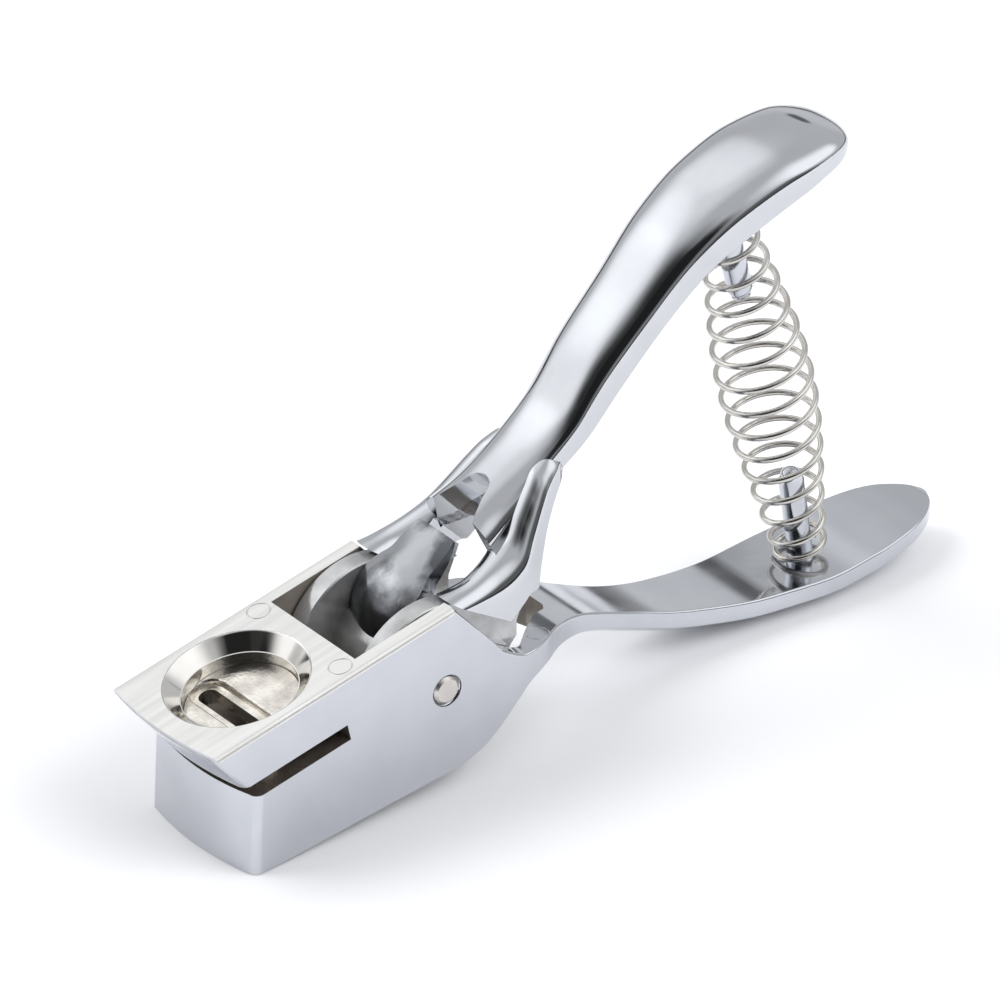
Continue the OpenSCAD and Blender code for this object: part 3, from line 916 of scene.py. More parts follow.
    def throat_tool(self) -> Mesh:
        """The card throat, open at the front and both sides.

        Returns:
            The tool.
        """
        front = -FAR / 2
        roof = [(front, JAW_DEPTH), (THROAT_REACH, JAW_DEPTH)]
        floor = [(THROAT_REACH, THROAT_FLOOR), (front, THROAT_FLOOR)]
        return slab("throat_tool", plate_outline(roof + floor), PAST_SIDE)

    def recess_tool(self) -> Mesh:
        """The recess: a rounded rim, the cone and the bore of the die.

        Returns:
            The tool, turned about the recess's middle.
        """
        radius, bore, cone, rim = self.recess_radius, self.bore_radius, self.cone_depth, self.rim
        ledge, past = 0.15, 3.0
        slope = (radius - bore - ledge) / cone
        profile = [
            (bore, -JAW_DEPTH - 1.0),
            (bore, -cone),
            (radius - slope * cone, -cone + 0.02),
            (radius - slope * rim * 0.7, -rim * 0.7),
            (radius + rim * 0.10, -rim * 0.16),
            (radius + rim * 0.5, 0.0),
            (radius + rim * 0.5 + past, past * 0.6),
        ]
        return turned("recess_tool", profile, plate_point(RECESS_U, 0, 0), PLATE_UP, 160)

    def hollow_tool(self) -> Mesh:
        """The well, open above, and the channel under the guide floor, open below.

        Returns:
            The tool: its plan drawn upright, where it meets its side outline.
        """
        front, tail = self.box_front + self.box_wall, self.well_tail
        plan = [(front, -WELL_HALF), *((x, -y) for x, y in tail), *reversed(tail), (front, WELL_HALF)]
        drop = CEILING_DEPTH / TILT_COS
        below, above = -10.0, 70.0
        side = [(0.0, below)]
        side += [(x, float(plate_height(x)) - drop) for x in (0.0, WELL_FRONT)]
        side += [(WELL_FRONT, above), (OVERALL, above), (OVERALL, below)]
        upright = tower("hollow_plan", plan, -5.0, 60.0)
        return carve(upright, slab("hollow_side", side, 20.0), Carving.KEEP)

    def mark_tools(self) -> list[Mesh]:
        """Round witness marks on the plate and behind the well, each a fine ring groove.

        A groove is a ring: its small circle of the groove's radius is carried round the mark's middle.

        Returns:
            A tool for each mark.
        """
        tools = []
        small = np.linspace(0, 2 * math.pi, 12, endpoint=False)
        large = np.linspace(0, 2 * math.pi, 60, endpoint=False) + self.mark_start
        radius = self.mark_radius + self.groove * np.cos(small)
        height = self.groove_depth * np.sin(small) - self.groove_sink
        u, out = self.plate_marks
        seats = [(plate_point(u, side * out, 0), PLATE_UP) for side in (-1, 1)]
        x, out, z = self.pocket_marks
        up = np.array([self.pocket_slope, 0.0, 1.0])
        seats += [(np.array([x, side * out, z]), up) for side in (-1, 1)]
        for centre, up in seats:
            along = np.cross(ACROSS, up)
            spoke = np.cos(large)[:, None] * along + np.sin(large)[:, None] * ACROSS
            rings = centre + radius[None, :, None] * spoke[:, None] + height[None, :, None] * up
            tools.append(skin("mark_tool", rings, closed=True))
        return tools

    def mesh(self) -> Mesh:
        """The whole casting: the bar, cut by each tool in turn.

        Returns:
            The closed mesh.
        """
        slot = [(SLOT_LENGTH, SLOT_WIDTH, depth) for depth in (THROAT_FLOOR - 1, CEILING_DEPTH + 4)]
        eased = [(2.5, -PAST_SIDE), (2.5, -12.2), (2.2, -11.9), (2.2, 11.9), (2.5, 12.2), (2.5, PAST_SIDE)]
        solid = self.bar()
        tools = [self.lip_tool(), self.box_tool(), self.throat_tool(), self.hollow_tool()]
        tools += [self.recess_tool(), plate_obround("guide_slot", slot, SLOT_U)]
        tools += [turned("pin_hole", eased, PIVOT, ACROSS, 64), *self.mark_tools()]
        for tool in tools:
            solid = carve(solid, tool, Carving.CUT)
        return solid

    def paint(self, mesh: Mesh) -> None:
        """Gives each face its finish by where it lies and where it looks.

        Args:
            mesh: The casting. Its material index becomes 0 chrome, 1 plate, 2 inside, brownish with painted
                shade, 3 cone or 4 throat, dark with painted shade.
        """
        _, plate_index, well_casting_and_shade_index, cone_index, throat_shade_index = range(5)
        slack, turned_away = 0.1, 0.5
        centre, normal = face_facts(mesh)
        depth = (plate_point(0, 0, 0) - centre) @ PLATE_UP
        along = (centre[:, 0] - depth * TILT_SIN) / TILT_COS
        upward, out = normal @ PLATE_UP, np.abs(centre[:, 1])
        index = np.zeros(len(centre), int)
        plate = (depth > -0.3) & (depth < 0.85) & (upward > 0.08) & (centre[:, 0] < WALL_END)
        plate &= (upward > 0.95) | (out > HALF_WIDTH - 0.9)
        index[plate] = plate_index
        room = np.interp(centre[:, 0], *np.array(self.well_tail).T)
        in_well = (out < room + slack) & (centre[:, 0] > 6.0) & (centre[:, 0] < self.well_tail[-1][0] + 0.4)
        sideways, endways = np.abs(normal[:, 1]) > turned_away, np.abs(normal[:, 0]) > turned_away
        walls = (normal[:, 1] * np.sign(centre[:, 1]) < -0.1) | endways
        walls &= (centre[:, 0] < WALL_END) | (out < room - 0.05) | sideways
        # Partly painted shade: the well's inward-facing walls get the darker brownish casting finish.
        index[in_well & walls & ~plate & (np.abs(normal[:, 2]) < 0.3)] = well_casting_and_shade_index
        # Painted shade: the throat's roof, floor and end face get the dark throat finish.
        throat = (depth > JAW_DEPTH - slack) & (depth < THROAT_FLOOR + slack) & ~sideways
        throat &= (along < THROAT_REACH + slack) & (along > 0)
        index[throat] = throat_shade_index
        away = centre - plate_point(RECESS_U, 0, 0)
        radius = np.linalg.norm(away - (away @ PLATE_UP)[:, None] * PLATE_UP, axis=1)
        cone = (radius < self.recess_radius + 0.4) & (depth > 0.02) & (depth < JAW_DEPTH + 0.2)
        index[cone] = cone_index
        mesh.polygons.foreach_set("material_index", index.astype(np.int32))

    def build(self, shop: Workshop) -> Object:
        """Builds and places the casting.

        Args:
            shop: Dresses and places the mesh.

        Returns:
            The piece.
        """
        mesh = self.mesh()
        self.paint(mesh)
        # The well's walls and the throat take finishes darkened as painted shade.
        finishes = [Finish.CHROME, Finish.PLATE, Finish.CASTING_AND_WELL_SHADE, Finish.CONE, Finish.THROAT_PAINTED_SHADE]
        name, slot = "body_casting_dressed", "chromed_casting"
        return shop.settle(mesh, name, ["body_casting"], finishes, "body")


@dataclass
class DieInsert:
    """The hardened disc in the floor of the recess, with the slot and its eased relief.

    Attributes:
        radius: Radius of the disc.
        edge: Chamfer of its upper edge.
        relief: Length and width of the relief round the slot.
        relief_depth: Depth of the relief.
    """

    radius: float = 8.4
    edge: float = 0.12
    relief: tuple[float, float] = (16.2, 5.6)
    relief_depth: float = 1.0

    def build(self, shop: Workshop) -> Object:
        """Builds and places the disc.

        Args:
            shop: Dresses and places the mesh.

        Returns:
            The piece.
        """
        radius, edge = self.radius, self.edge
        profile = [(radius, -JAW_DEPTH), (radius, -DIE_DEPTH - edge), (radius - edge, -DIE_DEPTH)]
        disc = turned("die_disc", profile, plate_point(RECESS_U, 0, 0), PLATE_UP, 160)
        length, width = self.relief
        eased = ((1.4, -0.5), (0.4, 0.0), (0.05, 0.12), (-0.2, 0.35), (-0.5, self.relief_depth))
        pit = [(length + more, width + more, DIE_DEPTH + deeper) for more, deeper in eased]
        disc = carve(disc, plate_obround("relief_tool", pit, SLOT_U), Carving.CUT)
        floor = DIE_DEPTH + self.relief_depth
        slot = [
            (SLOT_LENGTH + 0.5, SLOT_WIDTH + 0.5, floor - 0.25),
            (SLOT_LENGTH, SLOT_WIDTH, floor + 0.02),
            (SLOT_LENGTH, SLOT_WIDTH, JAW_DEPTH + 1),
        ]
        disc = carve(disc, plate_obround("slot_tool", slot, SLOT_U), Carving.CUT)
        return shop.settle(disc, "die_insert_dressed", ["die_insert"], [Finish.DIE], "body")


@dataclass
class Lever:
    """The upper handle with its forked cheeks, hub, tongue and drive arm, one casting.

    Attributes:
        handle_shares: Rows of the inner face and the crown as shares of the lever's reach and rise from the
            pivot, half width as a share of the head's, and the share of the thickness that the upright edge
            takes.
        cheek_rows: Rows of a cheek's lower edge and crest as x, z, its inner and outer side from the middle,
            and the share of the height that the flat side takes.
        tongue_shares: Rows of the tongue's outer face as shares of the hub's radius from the pivot, and its
            half width and thickness as shares of the fork's half width and of the tongue's thickness.
        window_shares: Rows of place and half width of the window between the cheeks, from its mouth to its
            end, as shares of its length and of the fork's half width.
        window_place: Where the window's middle lies, as shares of the lever's reach and rise.
        window_lean: Angle of the window's length over the table, in degrees.
        web_shares: Points of the hub's webs, as shares of the hub's radius from the pivot.
        grip_squareness: Power of the grip's crown.
        grip_edge: Radius of the grip's lower corners.
        cheek_edge: Radius of the cheeks' lower corners.
        tongue_band: Share of the tongue's thickness that its sides take.
        tongue_edge: Radius of its inner corners.
        hub_radius: Radius of the hub plates.
        hub_plate: Thickness of each.
        hub_chamfer: Chamfer of their edges.
        hub_gap: Gap between them and the walls of the well.
        web_inset: How far a web lies inside its hub plate on each side.
        boss_radius: Radius of the boss between them.
        fork_half: Half the width between the cheeks.
        tongue_thickness: Greatest thickness of the tongue.
        swing: Angle between open and closed, in degrees.
        nose_radius: Radius of the drive arm's nose.
        arm_half: Half the width of the arm.
        link_depth: Depth of the link pin below the plate when closed.
    """

    handle_shares: Table = field(
        default_factory=lambda: [
            (0.165, 0.220, 0.136, 0.343, 0.60, 0.40),
            (0.217, 0.250, 0.184, 0.374, 0.55, 0.42),
            (0.270, 0.325, 0.255, 0.424, 0.50, 0.47),
            (0.316, 0.385, 0.300, 0.462, 0.49, 0.50),
            (0.377, 0.445, 0.345, 0.512, 0.50, 0.52),
            (0.459, 0.560, 0.413, 0.627, 0.53, 0.48),
            (0.551, 0.680, 0.505, 0.747, 0.565, 0.45),
            (0.649, 0.792, 0.608, 0.878, 0.64, 0.42),
            (0.750, 0.859, 0.714, 0.964, 0.71, 0.42),
            (0.841, 0.905, 0.826, 1.005, 0.74, 0.43),
            (0.911, 0.931, 0.911, 1.012, 0.685, 0.43),
            (0.961, 0.941, 0.966, 0.997, 0.52, 0.42),
            (0.987, 0.946, 0.988, 0.977, 0.28, 0.36),
            (0.995, 0.949, 0.995, 0.962, 0.10, 0.50),
        ]
    )
    cheek_rows: Table = field(
        default_factory=lambda: [
            (42.6, 26.6, 41.7, 29.7, 6.5, 12.45, 0.55),
            (46.9, 23.6, 45.8, 30.2, 6.5, 12.45, 0.66),
            (52.3, 22.3, 50.2, 31.5, 5.2, 12.45, 0.60),
            (56.2, 24.0, 54.1, 33.5, 3.4, 12.0, 0.58),
            (58.6, 29.0, 56.9, 36.5, 2.4, 10.6, 0.50),
            (60.6, 33.0, 59.4, 39.1, 2.2, 9.4, 0.44),
            (62.9, 36.2, 61.8, 41.3, 2.0, 8.2, 0.42),
            (65.2, 38.7, 64.3, 42.4, 2.0, 7.1, 0.42),
            (66.4, 39.9, 65.8, 42.0, 2.0, 6.1, 0.40),
        ]
    )
    tongue_shares: Table = field(
        default_factory=lambda: [
            (-0.36, 0.05, 0.97, 1.1),
            (-0.35, 0.35, 0.97, 1.1),
            (-0.34, 0.55, 0.97, 1.1),
            (-0.30, 0.72, 0.97, 1.1),
            (-0.17, 0.95, 0.97, 1.1),
            (-0.01, 1.10, 0.94, 1.05),
            (0.15, 1.19, 0.84, 0.95),
            (0.29, 1.25, 0.74, 0.80),
            (0.51, 1.36, 0.72, 0.50),
            (0.675, 1.44, 0.63, 0.22),
        ]
    )
    window_shares: Table = field(
        default_factory=lambda: [
            (-0.2, 0.97),
            (0.05, 0.97),
            (0.15, 0.85),
            (0.35, 0.66),
            (0.7, 0.42),
            (0.86, 0.35),
            (0.94, 0.27),
            (0.98, 0.16),
            (1.0, 0.04),
        ]
    )
    window_place: tuple[float, float] = (0.1325, 0.27)
    window_lean: float = 42.0
    web_shares: Table = field(
        default_factory=lambda: [(-0.2, 0.9), (0.0, 0.0), (0.98, -0.05), (1.18, 0.17), (1.19, 0.36)]
    )
    grip_squareness: float = 0.86
    grip_edge: float = 0.35
    cheek_edge: float = 0.3
    tongue_band: float = 0.72
    tongue_edge: float = 0.2
    hub_radius: float = 12.3
    hub_plate: float = 3.3
    hub_chamfer: float = 0.2
    hub_gap: float = 0.3
    web_inset: float = 0.06
    boss_radius: float = 6.6
    fork_half: float = 6.4
    tongue_thickness: float = 4.2
    swing: float = 12.0
    nose_radius: float = 1.7
    arm_half: float = 3.0
    link_depth: float = 20.6

    def at(self, share_x: float | Array, share_z: float | Array) -> tuple[float | Array, float | Array]:
        """A side point by shares of the lever's reach and rise."""
        return (PIVOT[0] + LEVER_REACH * share_x, PIVOT[2] + LEVER_RISE * share_z)

    def handle(self) -> Mesh:
        """The handle, from the window between the cheeks to its tip.

        Returns:
            The closed mesh.
        """
        rows = flow(self.handle_shares, 10)
        zero = np.zeros(len(rows))
        inner_x, inner_z = self.at(rows[:, 0], rows[:, 1])
        outer_x, outer_z = self.at(rows[:, 2], rows[:, 3])
        inner = np.column_stack([inner_x, zero, inner_z])
        outer = np.column_stack([outer_x, zero, outer_z])
        half, edge, full = HALF_WIDTH * rows[:, 4], zero + self.grip_edge, zero + 1.0
        bar = Bar(inner, outer, half, rows[:, 5], edge, full, squareness=self.grip_squareness)
        return skin("handle", bar.rings())

    def cheek(self, side: int) -> Mesh:
        """A cheek with a rounded shoulder, which runs up beside the neck and ends under the handle's edge.

        Args:
            side: -1 for the near cheek, 1 for the far one.

        Returns:
            The closed mesh.
        """
        rows = flow(self.cheek_rows, 10)
        zero = np.zeros(len(rows))
        middle = side * (rows[:, 4] + rows[:, 5]) / 2
        inner = np.column_stack([rows[:, 0], middle, rows[:, 1]])
        outer = np.column_stack([rows[:, 2], middle, rows[:, 3]])
        half, edge = (rows[:, 5] - rows[:, 4]) / 2, zero + self.cheek_edge
        return skin("cheek", Bar(inner, outer, half, rows[:, 6], edge, zero + 1.0).rings())

    def under_tool(self) -> Mesh:
        """Everything under the cheeks' lower edge.

        Returns:
            The tool.
        """
        edge_z, below = float(plate_height(WALL_END)), -5.0
        front, step = 30.0, 0.6
        outline = [(WALL_END - step / 2, edge_z + step), (WALL_END + step / 2, edge_z + step / 4)]
        outline += [self.at(0.143, 0.115), self.at(0.191, 0.163), self.at(0.296, 0.163)]
        outline += [(outline[-1][0], below), (front, below), (front, edge_z + step)]
        return slab("under_tool", outline, 20.0)

    def window_tool(self) -> Mesh:
        """The window between the cheeks: its outline drawn out square to its length.

        Returns:
            The tool.
        """
        turn = math.radians(self.window_lean)
        middle_x, middle_z = self.at(*self.window_place)
        right = np.array(self.window_shares) * [self.fork_half * 1.5, self.fork_half]
        outline = np.vstack([right * [1, -1], right[::-1]])
        rings = []
        for height in (-24.0, 12.0):
            x = middle_x + outline[:, 0] * math.cos(turn) + height * -math.sin(turn)
            z = middle_z + outline[:, 0] * math.sin(turn) + height * math.cos(turn)
            rings.append(np.column_stack([x, outline[:, 1], z]))
        return skin("window", np.stack(rings))

    def hub(self) -> list[Mesh]:
        """The two hub plates with the webs that join them to the cheeks, and the boss between them.

        Returns:
            The closed meshes.
        """
        reach, thin = WELL_HALF - self.hub_gap, self.hub_plate / 2
        r, chamfer = self.hub_radius, self.hub_chamfer
        profile = [(r - chamfer, -thin), (r, -thin + chamfer), (r, thin - chamfer), (r - chamfer, thin)]
        web = [(PIVOT[0] + r * a, PIVOT[2] + r * b) for a, b in self.web_shares]
        web += [self.at(0.205, 0.15), self.at(0.165, 0.205)]
        web += [(WALL_END + 0.3, float(plate_height(WALL_END)) - 1.9)]
        parts = []
        for side in (-1, 1):
            centre = PIVOT + [0.0, side * (reach - self.hub_plate / 2), 0.0]
            parts.append(turned("hub_plate", profile, centre, ACROSS, 128))
            plate = slab("hub_web", web, thin - self.web_inset)
            plate.transform(Matrix.Translation((0.0, centre[1], 0.0)))
            parts.append(plate)
        boss = [(self.boss_radius, -reach), (self.boss_radius, reach)]
        parts.append(turned("boss", boss, PIVOT, ACROSS))
        return parts

    def tongue(self) -> Mesh:
        """The crowned tongue between the cheeks, a bar whose crown faces the head.

        Returns:
            The closed mesh.
        """
        sizes = np.array([self.hub_radius, self.hub_radius, self.fork_half, self.tongue_thickness])
        rows = flow(np.array(self.tongue_shares) * sizes, 8)
        outer = rows[:, :2] + [PIVOT[0], PIVOT[2]]
        lean = np.gradient(outer, axis=0)
        lean /= np.linalg.norm(lean, axis=1, keepdims=True)
        inner = outer + np.column_stack([lean[:, 1], -lean[:, 0]]) * rows[:, 3:]
        zero = np.zeros(len(outer))
        bar = Bar(
            np.column_stack([inner[:, 0], zero, inner[:, 1]]),
            np.column_stack([outer[:, 0], zero, outer[:, 1]]),
            rows[:, 2],
            zero + self.tongue_band,
            zero + self.tongue_edge,
            zero,
        )
        return skin("tongue", bar.rings())

    def arm(self) -> list[Mesh]:
        """The drive arm with its round nose, and its wide root.

        Both are drawn closed, by depth below the plate, and then turned open about the pivot.

        Returns:
            The closed meshes.
        """
        radius, r = self.nose_radius, self.hub_radius
        pivot_u = PIVOT[0] * TILT_COS + (PIVOT[2] - LIP_HEIGHT) * TILT_SIN
        pivot_w = PIVOT[0] * TILT_SIN - (PIVOT[2] - LIP_HEIGHT) * TILT_COS
        reach = math.hypot(pivot_u - SLOT_U, self.link_depth - pivot_w)
        angle = math.atan2(self.link_depth - pivot_w, pivot_u - SLOT_U) - math.radians(self.swing)
        nose_u, nose_w = pivot_u - reach * math.cos(angle) - 0.6, pivot_w + reach * math.sin(angle)
        turn = np.radians(np.linspace(90, 270, 17))
        nose = [(nose_u + radius * math.cos(a), nose_w + radius * math.sin(a)) for a in turn]
        top = (pivot_u, nose_w - radius)
        low = [(pivot_u, nose_w + radius * 2.6), (pivot_u - r, nose_w + radius * 2.2)]
        root_u = SLOT_U + r * 0.75
        root = [(root_u, nose_w + radius * 1.2), (root_u, nose_w - radius)]
        place = Matrix.Translation(Vector(PIVOT))
        parts = []
        halves = (self.arm_half, self.fork_half + 0.7)
        for outline, half in zip(([*nose, top, *low], [*root, top, *low]), halves):
            part = slab("arm", plate_outline(outline), half)
            part.transform(place @ Matrix.Rotation(-math.radians(self.swing), 4, "Y") @ place.inverted())
            parts.append(part)
        return parts

    def build(self, shop: Workshop) -> Object:
        """Builds and places the lever, whose forms pass through each other as they do in the casting.

        Args:
            shop: Dresses and places the mesh.

        Returns:
            The piece.
        """
        solids = [carve(self.handle(), self.window_tool(), Carving.CUT)]
        for side in (-1, 1):
            cheek = carve(self.cheek(side), self.under_tool(), Carving.CUT)
            solids.append(carve(cheek, self.window_tool(), Carving.CUT))
        groups = (solids, [self.tongue()], [*self.hub(), *self.arm()])
        counts = [sum(len(solid.polygons) for solid in group) for group in groups]
        whole = gathered("lever", [solid for group in groups for solid in group])
        index = np.repeat(np.arange(len(groups), dtype=np.int32), counts)
        whole.polygons.foreach_set("material_index", index)
        finishes = [Finish.LEVER, Finish.TONGUE, Finish.HUB]
        return shop.settle(whole, "lever_dressed", ["lever_casting"], finishes, "lever")


@dataclass
class PivotPin:
    """The turned pin through both side walls, chamfered at both ends.

    Attributes:
        proud: How far each end stands out of the head.
        chamfer: Size of the chamfers.
        ease: How far a chamfer's outer part turns in.
    """

    proud: float = 0.18
    chamfer: float = 0.42
    ease: float = 0.12

    def build(self, shop: Workshop) -> Object:
        """Builds and places the pin.

        Args:
            shop: Dresses and places the mesh.

        Returns:
            The piece.
        """
        end, chamfer = HALF_WIDTH + self.proud, self.chamfer
        half = [(PIN_RADIUS - chamfer, end), (PIN_RADIUS - self.ease, end - chamfer * 0.7)]
        half += [(PIN_RADIUS, end - chamfer)]
        profile = [(r, -h) for r, h in half] + half[::-1]
        mesh = turned("pin", profile, PIVOT, ACROSS, 64)
        return shop.settle(mesh, "pivot_pin_dressed", ["pivot_pin"], [Finish.NICKEL], "body")


@dataclass
class SpringStud:
    """A turned stud with a domed end, which the spring sits over.

    Attributes:
        name: Name of the piece.
        node: CAD node that it stands for.
        body: CAD body that it moves with.
        seat: Middle of its foot.
        lean: Angle of its axis from upright, in radians.
        length: Length over its foot.
        radius: Radius of the stud.
        root: How deep it sits in the handle.
        dome: Radius of the domed end as a share of the stud's, and its height as a share of that.
    """

    name: str
    node: str
    body: str
    seat: Array
    lean: float
    length: float
    radius: float = 1.9
    root: float = 1.0
    dome: float = 0.8

    def build(self, shop: Workshop) -> Object:
        """Builds and places the stud.

        Args:
            shop: Dresses and places the mesh.

        Returns:
            The piece.
        """
        tip = self.radius * self.dome
        rise = tip * self.dome
        turn = np.linspace(0, math.radians(84), 10)
        dome = [(tip * math.cos(a), self.length - rise + rise * math.sin(a)) for a in turn]
        profile = [(self.radius, -self.root), (self.radius, self.length - tip * 1.4), *dome]
        axis = np.array([math.sin(self.lean), 0.0, math.cos(self.lean)])
        mesh = turned(self.name, profile, self.seat, axis, 64)
        return shop.settle(mesh, self.name, [self.node], [Finish.CHROME], self.body)


@dataclass
class ReturnSpring:
    """The barrel spring of round wire between the handles.

    Attributes:
        wire: Diameter of the wire.
        curls: Number of turns.
        end_diameter: Outer diameter of the end turns.
        middle_diameter: Outer diameter in the middle.
        power: Power of the swelling between them.
        bow: How far the spring's middle bows back.
        flat_curls: Turns at each end that lie flat.
        flat_pitch: Rise of a flat turn, in wire diameters.
        seat_gap: Gap to each seat.
        end_rise: Room for the slope of the upper seat, as a share of the end diameter.
        steps: Points along a turn.
        sides: Points round the wire.
    """

    wire: float = 0.95
    curls: float = 15.5
    end_diameter: float = 8.2
    middle_diameter: float = 14.6
    power: float = 1.8
    bow: float = 0.7
    flat_curls: float = 1.1
    flat_pitch: float = 1.6
    seat_gap: float = 0.3
    end_rise: float = 0.08
    steps: int = 40
    sides: int = 12

    def line(self) -> Array:
        """Centre line of the wire.

        For the share t of the curls, the radius grows from both ends to the middle by sin(pi t) to a power,
        the height rises slowly in the flat end curls and evenly between them, and the whole bows back by
        sin(pi t).

        Returns:
            Points along the wire, with the spring's axis as z.
        """
        t = np.linspace(0, 1, int(self.curls * self.steps) + 1)
        swell = np.maximum(np.sin(math.pi * t), 0) ** self.power
        radius = (self.end_diameter + (self.middle_diameter - self.end_diameter) * swell) / 2 - self.wire / 2
        run = float(np.linalg.norm(SPRING_AXIS)) - self.wire - 2 * self.seat_gap
        run -= self.end_diameter * self.end_rise
        flat = self.flat_curls / self.curls
        flat_z = self.wire * self.flat_pitch * self.flat_curls
        z = np.interp(t, [0, flat, 1 - flat, 1], [0, flat_z, run - flat_z, run])
        turn = 2 * math.pi * self.curls * t
        x = radius * np.cos(turn) + self.bow * np.sin(math.pi * t)
        return np.column_stack([x, radius * np.sin(turn), z])

    def build(self, shop: Workshop) -> Object:
        """Builds the wire as a round profile along its line.

        Args:
            shop: Dresses and places the mesh.

        Returns:
            The piece.
        """
        line = self.line()
        along = np.gradient(line, axis=0)
        along /= np.linalg.norm(along, axis=1, keepdims=True)
        side = np.cross(along, [0.0, 0.0, 1.0])
        side /= np.linalg.norm(side, axis=1, keepdims=True)
        up = np.cross(side, along)
        turn = np.linspace(0, 2 * math.pi, self.sides, endpoint=False)
        ring = np.cos(turn)[None, :, None] * side[:, None] + np.sin(turn)[None, :, None] * up[:, None]
        rings = line[:, None] + ring * self.wire / 2
        mesh = skin("spring", rings)
        lift = Matrix.Translation((0.0, 0.0, self.wire / 2 + self.seat_gap))
        mesh.transform(Matrix.Translation(Vector(LOWER_SEAT)) @ Matrix.Rotation(SPRING_LEAN, 4, "Y") @ lift)
        piece = shop.settle(mesh, "return_spring_wound", ["return_spring"], [Finish.WIRE])
        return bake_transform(piece)


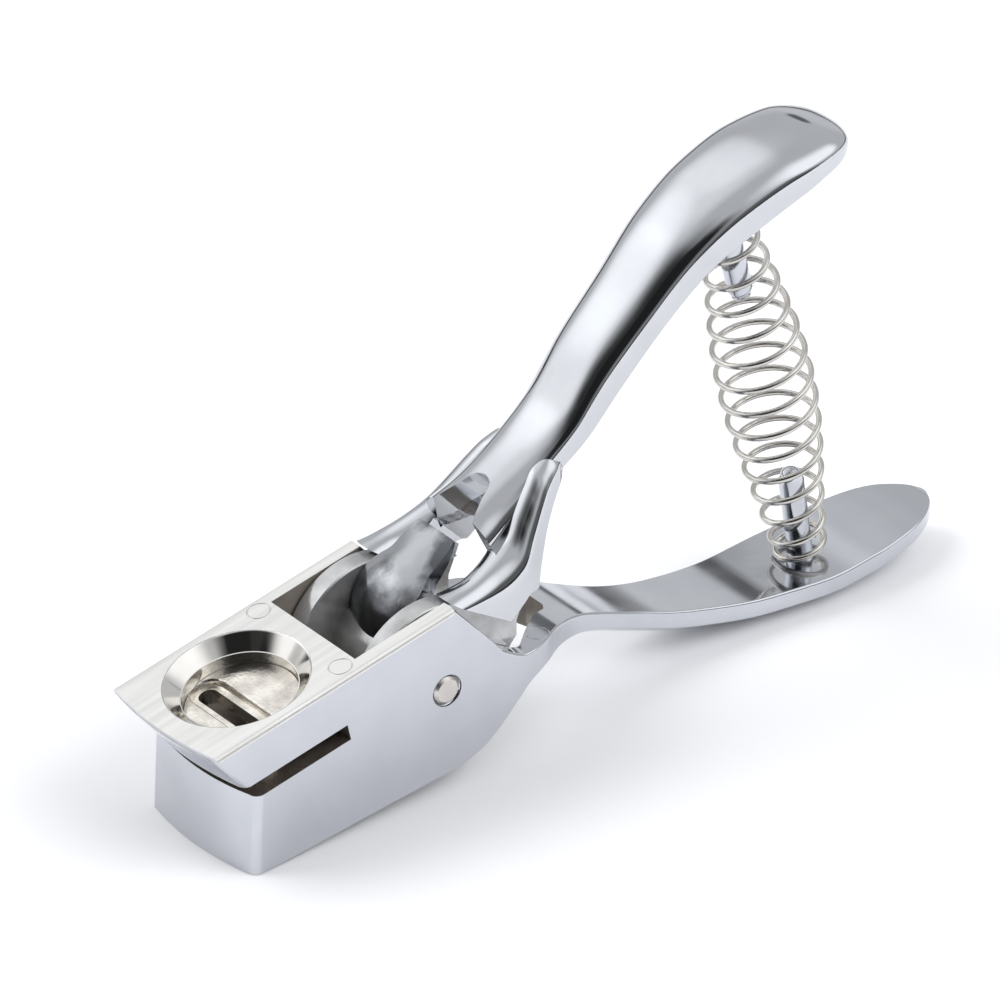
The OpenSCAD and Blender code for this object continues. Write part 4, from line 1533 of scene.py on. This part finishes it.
@dataclass
class Studio:
    """The pale floor, the soft light and the camera at the photograph's angle.

    Attributes:
        camera_place: Place of the camera, in the photograph's frame.
        right: Direction to the right of the picture.
        up: Direction up the picture.
        back: Direction from the punch to the camera.
        lens: Focal length, in millimetres.
        room_level: Strength of the room above the skyline.
        skyline: Height, as a direction's z, under which the room turns dark.
        floor_level: Share of that strength in the dark room.
        least_level: Least strength in any direction.
        floor_size: Half the side of the floor, in metres.
        panels: Rows of the middle direction, outer and inner angle in degrees, and strength of the soft
            panels; a dark panel has a strength below zero.
        lamps: Rows of name, place in metres, power in watts and size in metres.
    """

    camera_place: tuple[float, float, float] = (-788.76, -1182.01, 915.72)
    right: tuple[float, float, float] = (0.797796, -0.601656, -0.039136)
    up: tuple[float, float, float] = (0.338876, 0.393769, 0.854464)
    back: tuple[float, float, float] = (-0.498683, -0.69495, 0.518034)
    lens: float = 432.0
    room_level: float = 0.64
    skyline: float = 0.12
    floor_level: float = 0.12
    least_level: float = 0.02
    floor_size: float = 3.0
    panels: list[tuple[tuple[float, float, float], float, float, float]] = field(
        default_factory=lambda: [
            ((-0.60, 0.70, 0.42), 34.0, 14.0, 0.60),
            ((-0.15, 0.62, 0.77), 36.0, 12.0, 0.38),
            ((0.50, -0.42, 0.76), 36.0, 12.0, 0.75),
            ((-0.55, -0.75, 0.36), 38.0, 12.0, -0.42),
            ((-0.52, -0.62, 0.58), 24.0, 9.0, -0.30),
            ((0.25, -0.95, 0.10), 30.0, 14.0, -0.50),
            ((-0.95, 0.10, 0.15), 26.0, 12.0, -0.35),
            ((-0.62, 0.78, 0.06), 15.0, 6.0, -0.60),
            ((0.72, 0.69, 0.02), 26.0, 15.0, 0.10),
            ((-0.78, -0.22, 0.58), 34.0, 8.0, -0.60),
            ((0.10, 0.69, 0.72), 24.0, 8.0, 0.20),
            ((0.59, 0.695, 0.41), 4.6, 2.2, -0.50),
        ]
    )
    lamps: list[tuple[str, tuple[float, float, float], float, float]] = field(
        default_factory=lambda: [
            ("key", (-0.55, 0.75, 1.1), 8.0, 0.9),
            ("fill", (0.5, -1.0, 0.9), 9.5, 1.0),
        ]
    )

    def place_camera(self) -> None:
        """Places the camera that was fitted to the photograph's edges."""
        data = bpy.data.cameras.new("camera")
        data.sensor_width = 36.0
        data.lens = self.lens
        data.clip_end = 10.0
        item = bpy.data.objects.new("camera", data)
        turn = Matrix((self.right, self.up, self.back)).transposed().to_4x4()
        x, y, z = self.camera_place
        item.matrix_world = Matrix.Translation(((x - ORIGIN_X) * MM, y * MM, z * MM)) @ turn
        bpy.context.scene.collection.objects.link(item)
        bpy.context.scene.camera = item

    def lay_floor(self) -> None:
        """Lays a wide pale floor that keeps the object's shadow, just under the punch."""
        size = self.floor_size
        corners = [(-size, -size, 0.0), (size, -size, 0.0), (size, size, 0.0), (-size, size, 0.0)]
        mesh = bpy.data.meshes.new("floor")
        mesh.from_pydata(corners, [], [(0, 1, 2, 3)])
        made = bpy.data.materials.new("pale_floor")
        made.use_nodes = True
        surface = {"Roughness": 0.7, "Specular IOR Level": 0.1, "Base Color": (0.93, 0.93, 0.95, 1.0)}
        feed(made.node_tree, made.node_tree.nodes["Principled BSDF"], surface)
        mesh.materials.append(made)
        item = bpy.data.objects.new("floor", mesh)
        item.location.z = -0.00005
        bpy.context.scene.collection.objects.link(item)

    def light_room(self) -> None:
        """Sets a soft studio of white and dark panels, summed by direction; the camera sees it plain white.

        A panel's share of its strength falls smoothly from its inner to its outer angle.
        """
        world = bpy.data.worlds.new("studio")
        world.use_nodes = True
        bpy.context.scene.world = world
        tree = world.node_tree
        direction = add_node(tree, "ShaderNodeTexCoord", {}).outputs["Generated"]
        split = add_node(tree, "ShaderNodeSeparateXYZ", {"Vector": direction})
        smooth = {"interpolation_type": "SMOOTHSTEP"}
        span = {"Value": split.outputs["Z"], "From Min": self.skyline, "From Max": self.skyline / 3}
        levels = {"To Min": self.room_level, "To Max": self.room_level * self.floor_level}
        total = add_node(tree, "ShaderNodeMapRange", {**span, **levels}, **smooth).outputs["Result"]
        for middle, outer, inner, strength in self.panels:
            pair = {0: direction, 1: Vector(middle).normalized()}
            dot = add_node(tree, "ShaderNodeVectorMath", pair, operation="DOT_PRODUCT")
            low, high = (math.cos(math.radians(angle)) for angle in (outer, inner))
            span = {"Value": dot.outputs["Value"], "From Min": low, "From Max": high, "To Max": strength}
            soft = add_node(tree, "ShaderNodeMapRange", span, **smooth).outputs["Result"]
            total = add_node(tree, "ShaderNodeMath", {0: total, 1: soft}, operation="ADD").outputs["Value"]
        level = add_node(tree, "ShaderNodeMath", {0: total, 1: self.least_level}, operation="MAXIMUM")
        room = tree.nodes["Background"]
        feed(tree, room, {"Color": (0.97, 0.985, 1.0, 1.0), "Strength": level.outputs["Value"]})
        white = add_node(tree, "ShaderNodeBackground", {"Color": (1.0, 1.0, 1.0, 1.0)})
        seen = add_node(tree, "ShaderNodeLightPath", {}).outputs["Is Camera Ray"]
        shaders = {"Fac": seen, 1: room.outputs["Background"], 2: white.outputs["Background"]}
        mix = add_node(tree, "ShaderNodeMixShader", shaders)
        feed(tree, tree.nodes["World Output"], {"Surface": mix.outputs["Shader"]})

    def hang_lamps(self) -> None:
        """Hangs a broad key on the upper left and a weaker, wider fill on the right."""
        for name, place, energy, size in self.lamps:
            data = bpy.data.lights.new(name, "AREA")
            data.energy = energy
            data.size = size
            item = bpy.data.objects.new(name, data)
            item.location = place
            item.rotation_euler = (-Vector(place)).to_track_quat("-Z", "Y").to_euler()
            item.visible_glossy = False
            bpy.context.scene.collection.objects.link(item)

    def build(self) -> None:
        """Sets up the whole studio."""
        self.place_camera()
        self.lay_floor()
        self.light_room()
        self.hang_lamps()
        bpy.context.scene.view_settings.view_transform = "Standard"


def main() -> None:
    """Builds the studio and every piece."""
    logging.basicConfig(level=logging.INFO, format="%(name)s: %(message)s")
    shop = Workshop()
    Studio().build()
    over, under = SPRING_LEAN / 2, SPRING_LEAN + math.pi
    lower = SpringStud("lower_stud_turned", "lower_spring_stud", "body", LOWER_SEAT, over, length=15.0)
    upper = SpringStud("upper_stud_turned", "upper_spring_stud", "lever", UPPER_SEAT, under, length=16.2)
    for part in (BodyCasting(), DieInsert(), Lever(), PivotPin(), lower, upper, ReturnSpring()):
        part.build(shop)
    for node in ("punch_blade", "punch_link_pin"):
        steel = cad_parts[node]
        steel.data.materials.clear()
        steel.data.materials.append(shop.material(Finish.STEEL))
        LOG.info("%s: its CAD mesh, in ground steel", node)


if __name__ == "__main__":
    main()
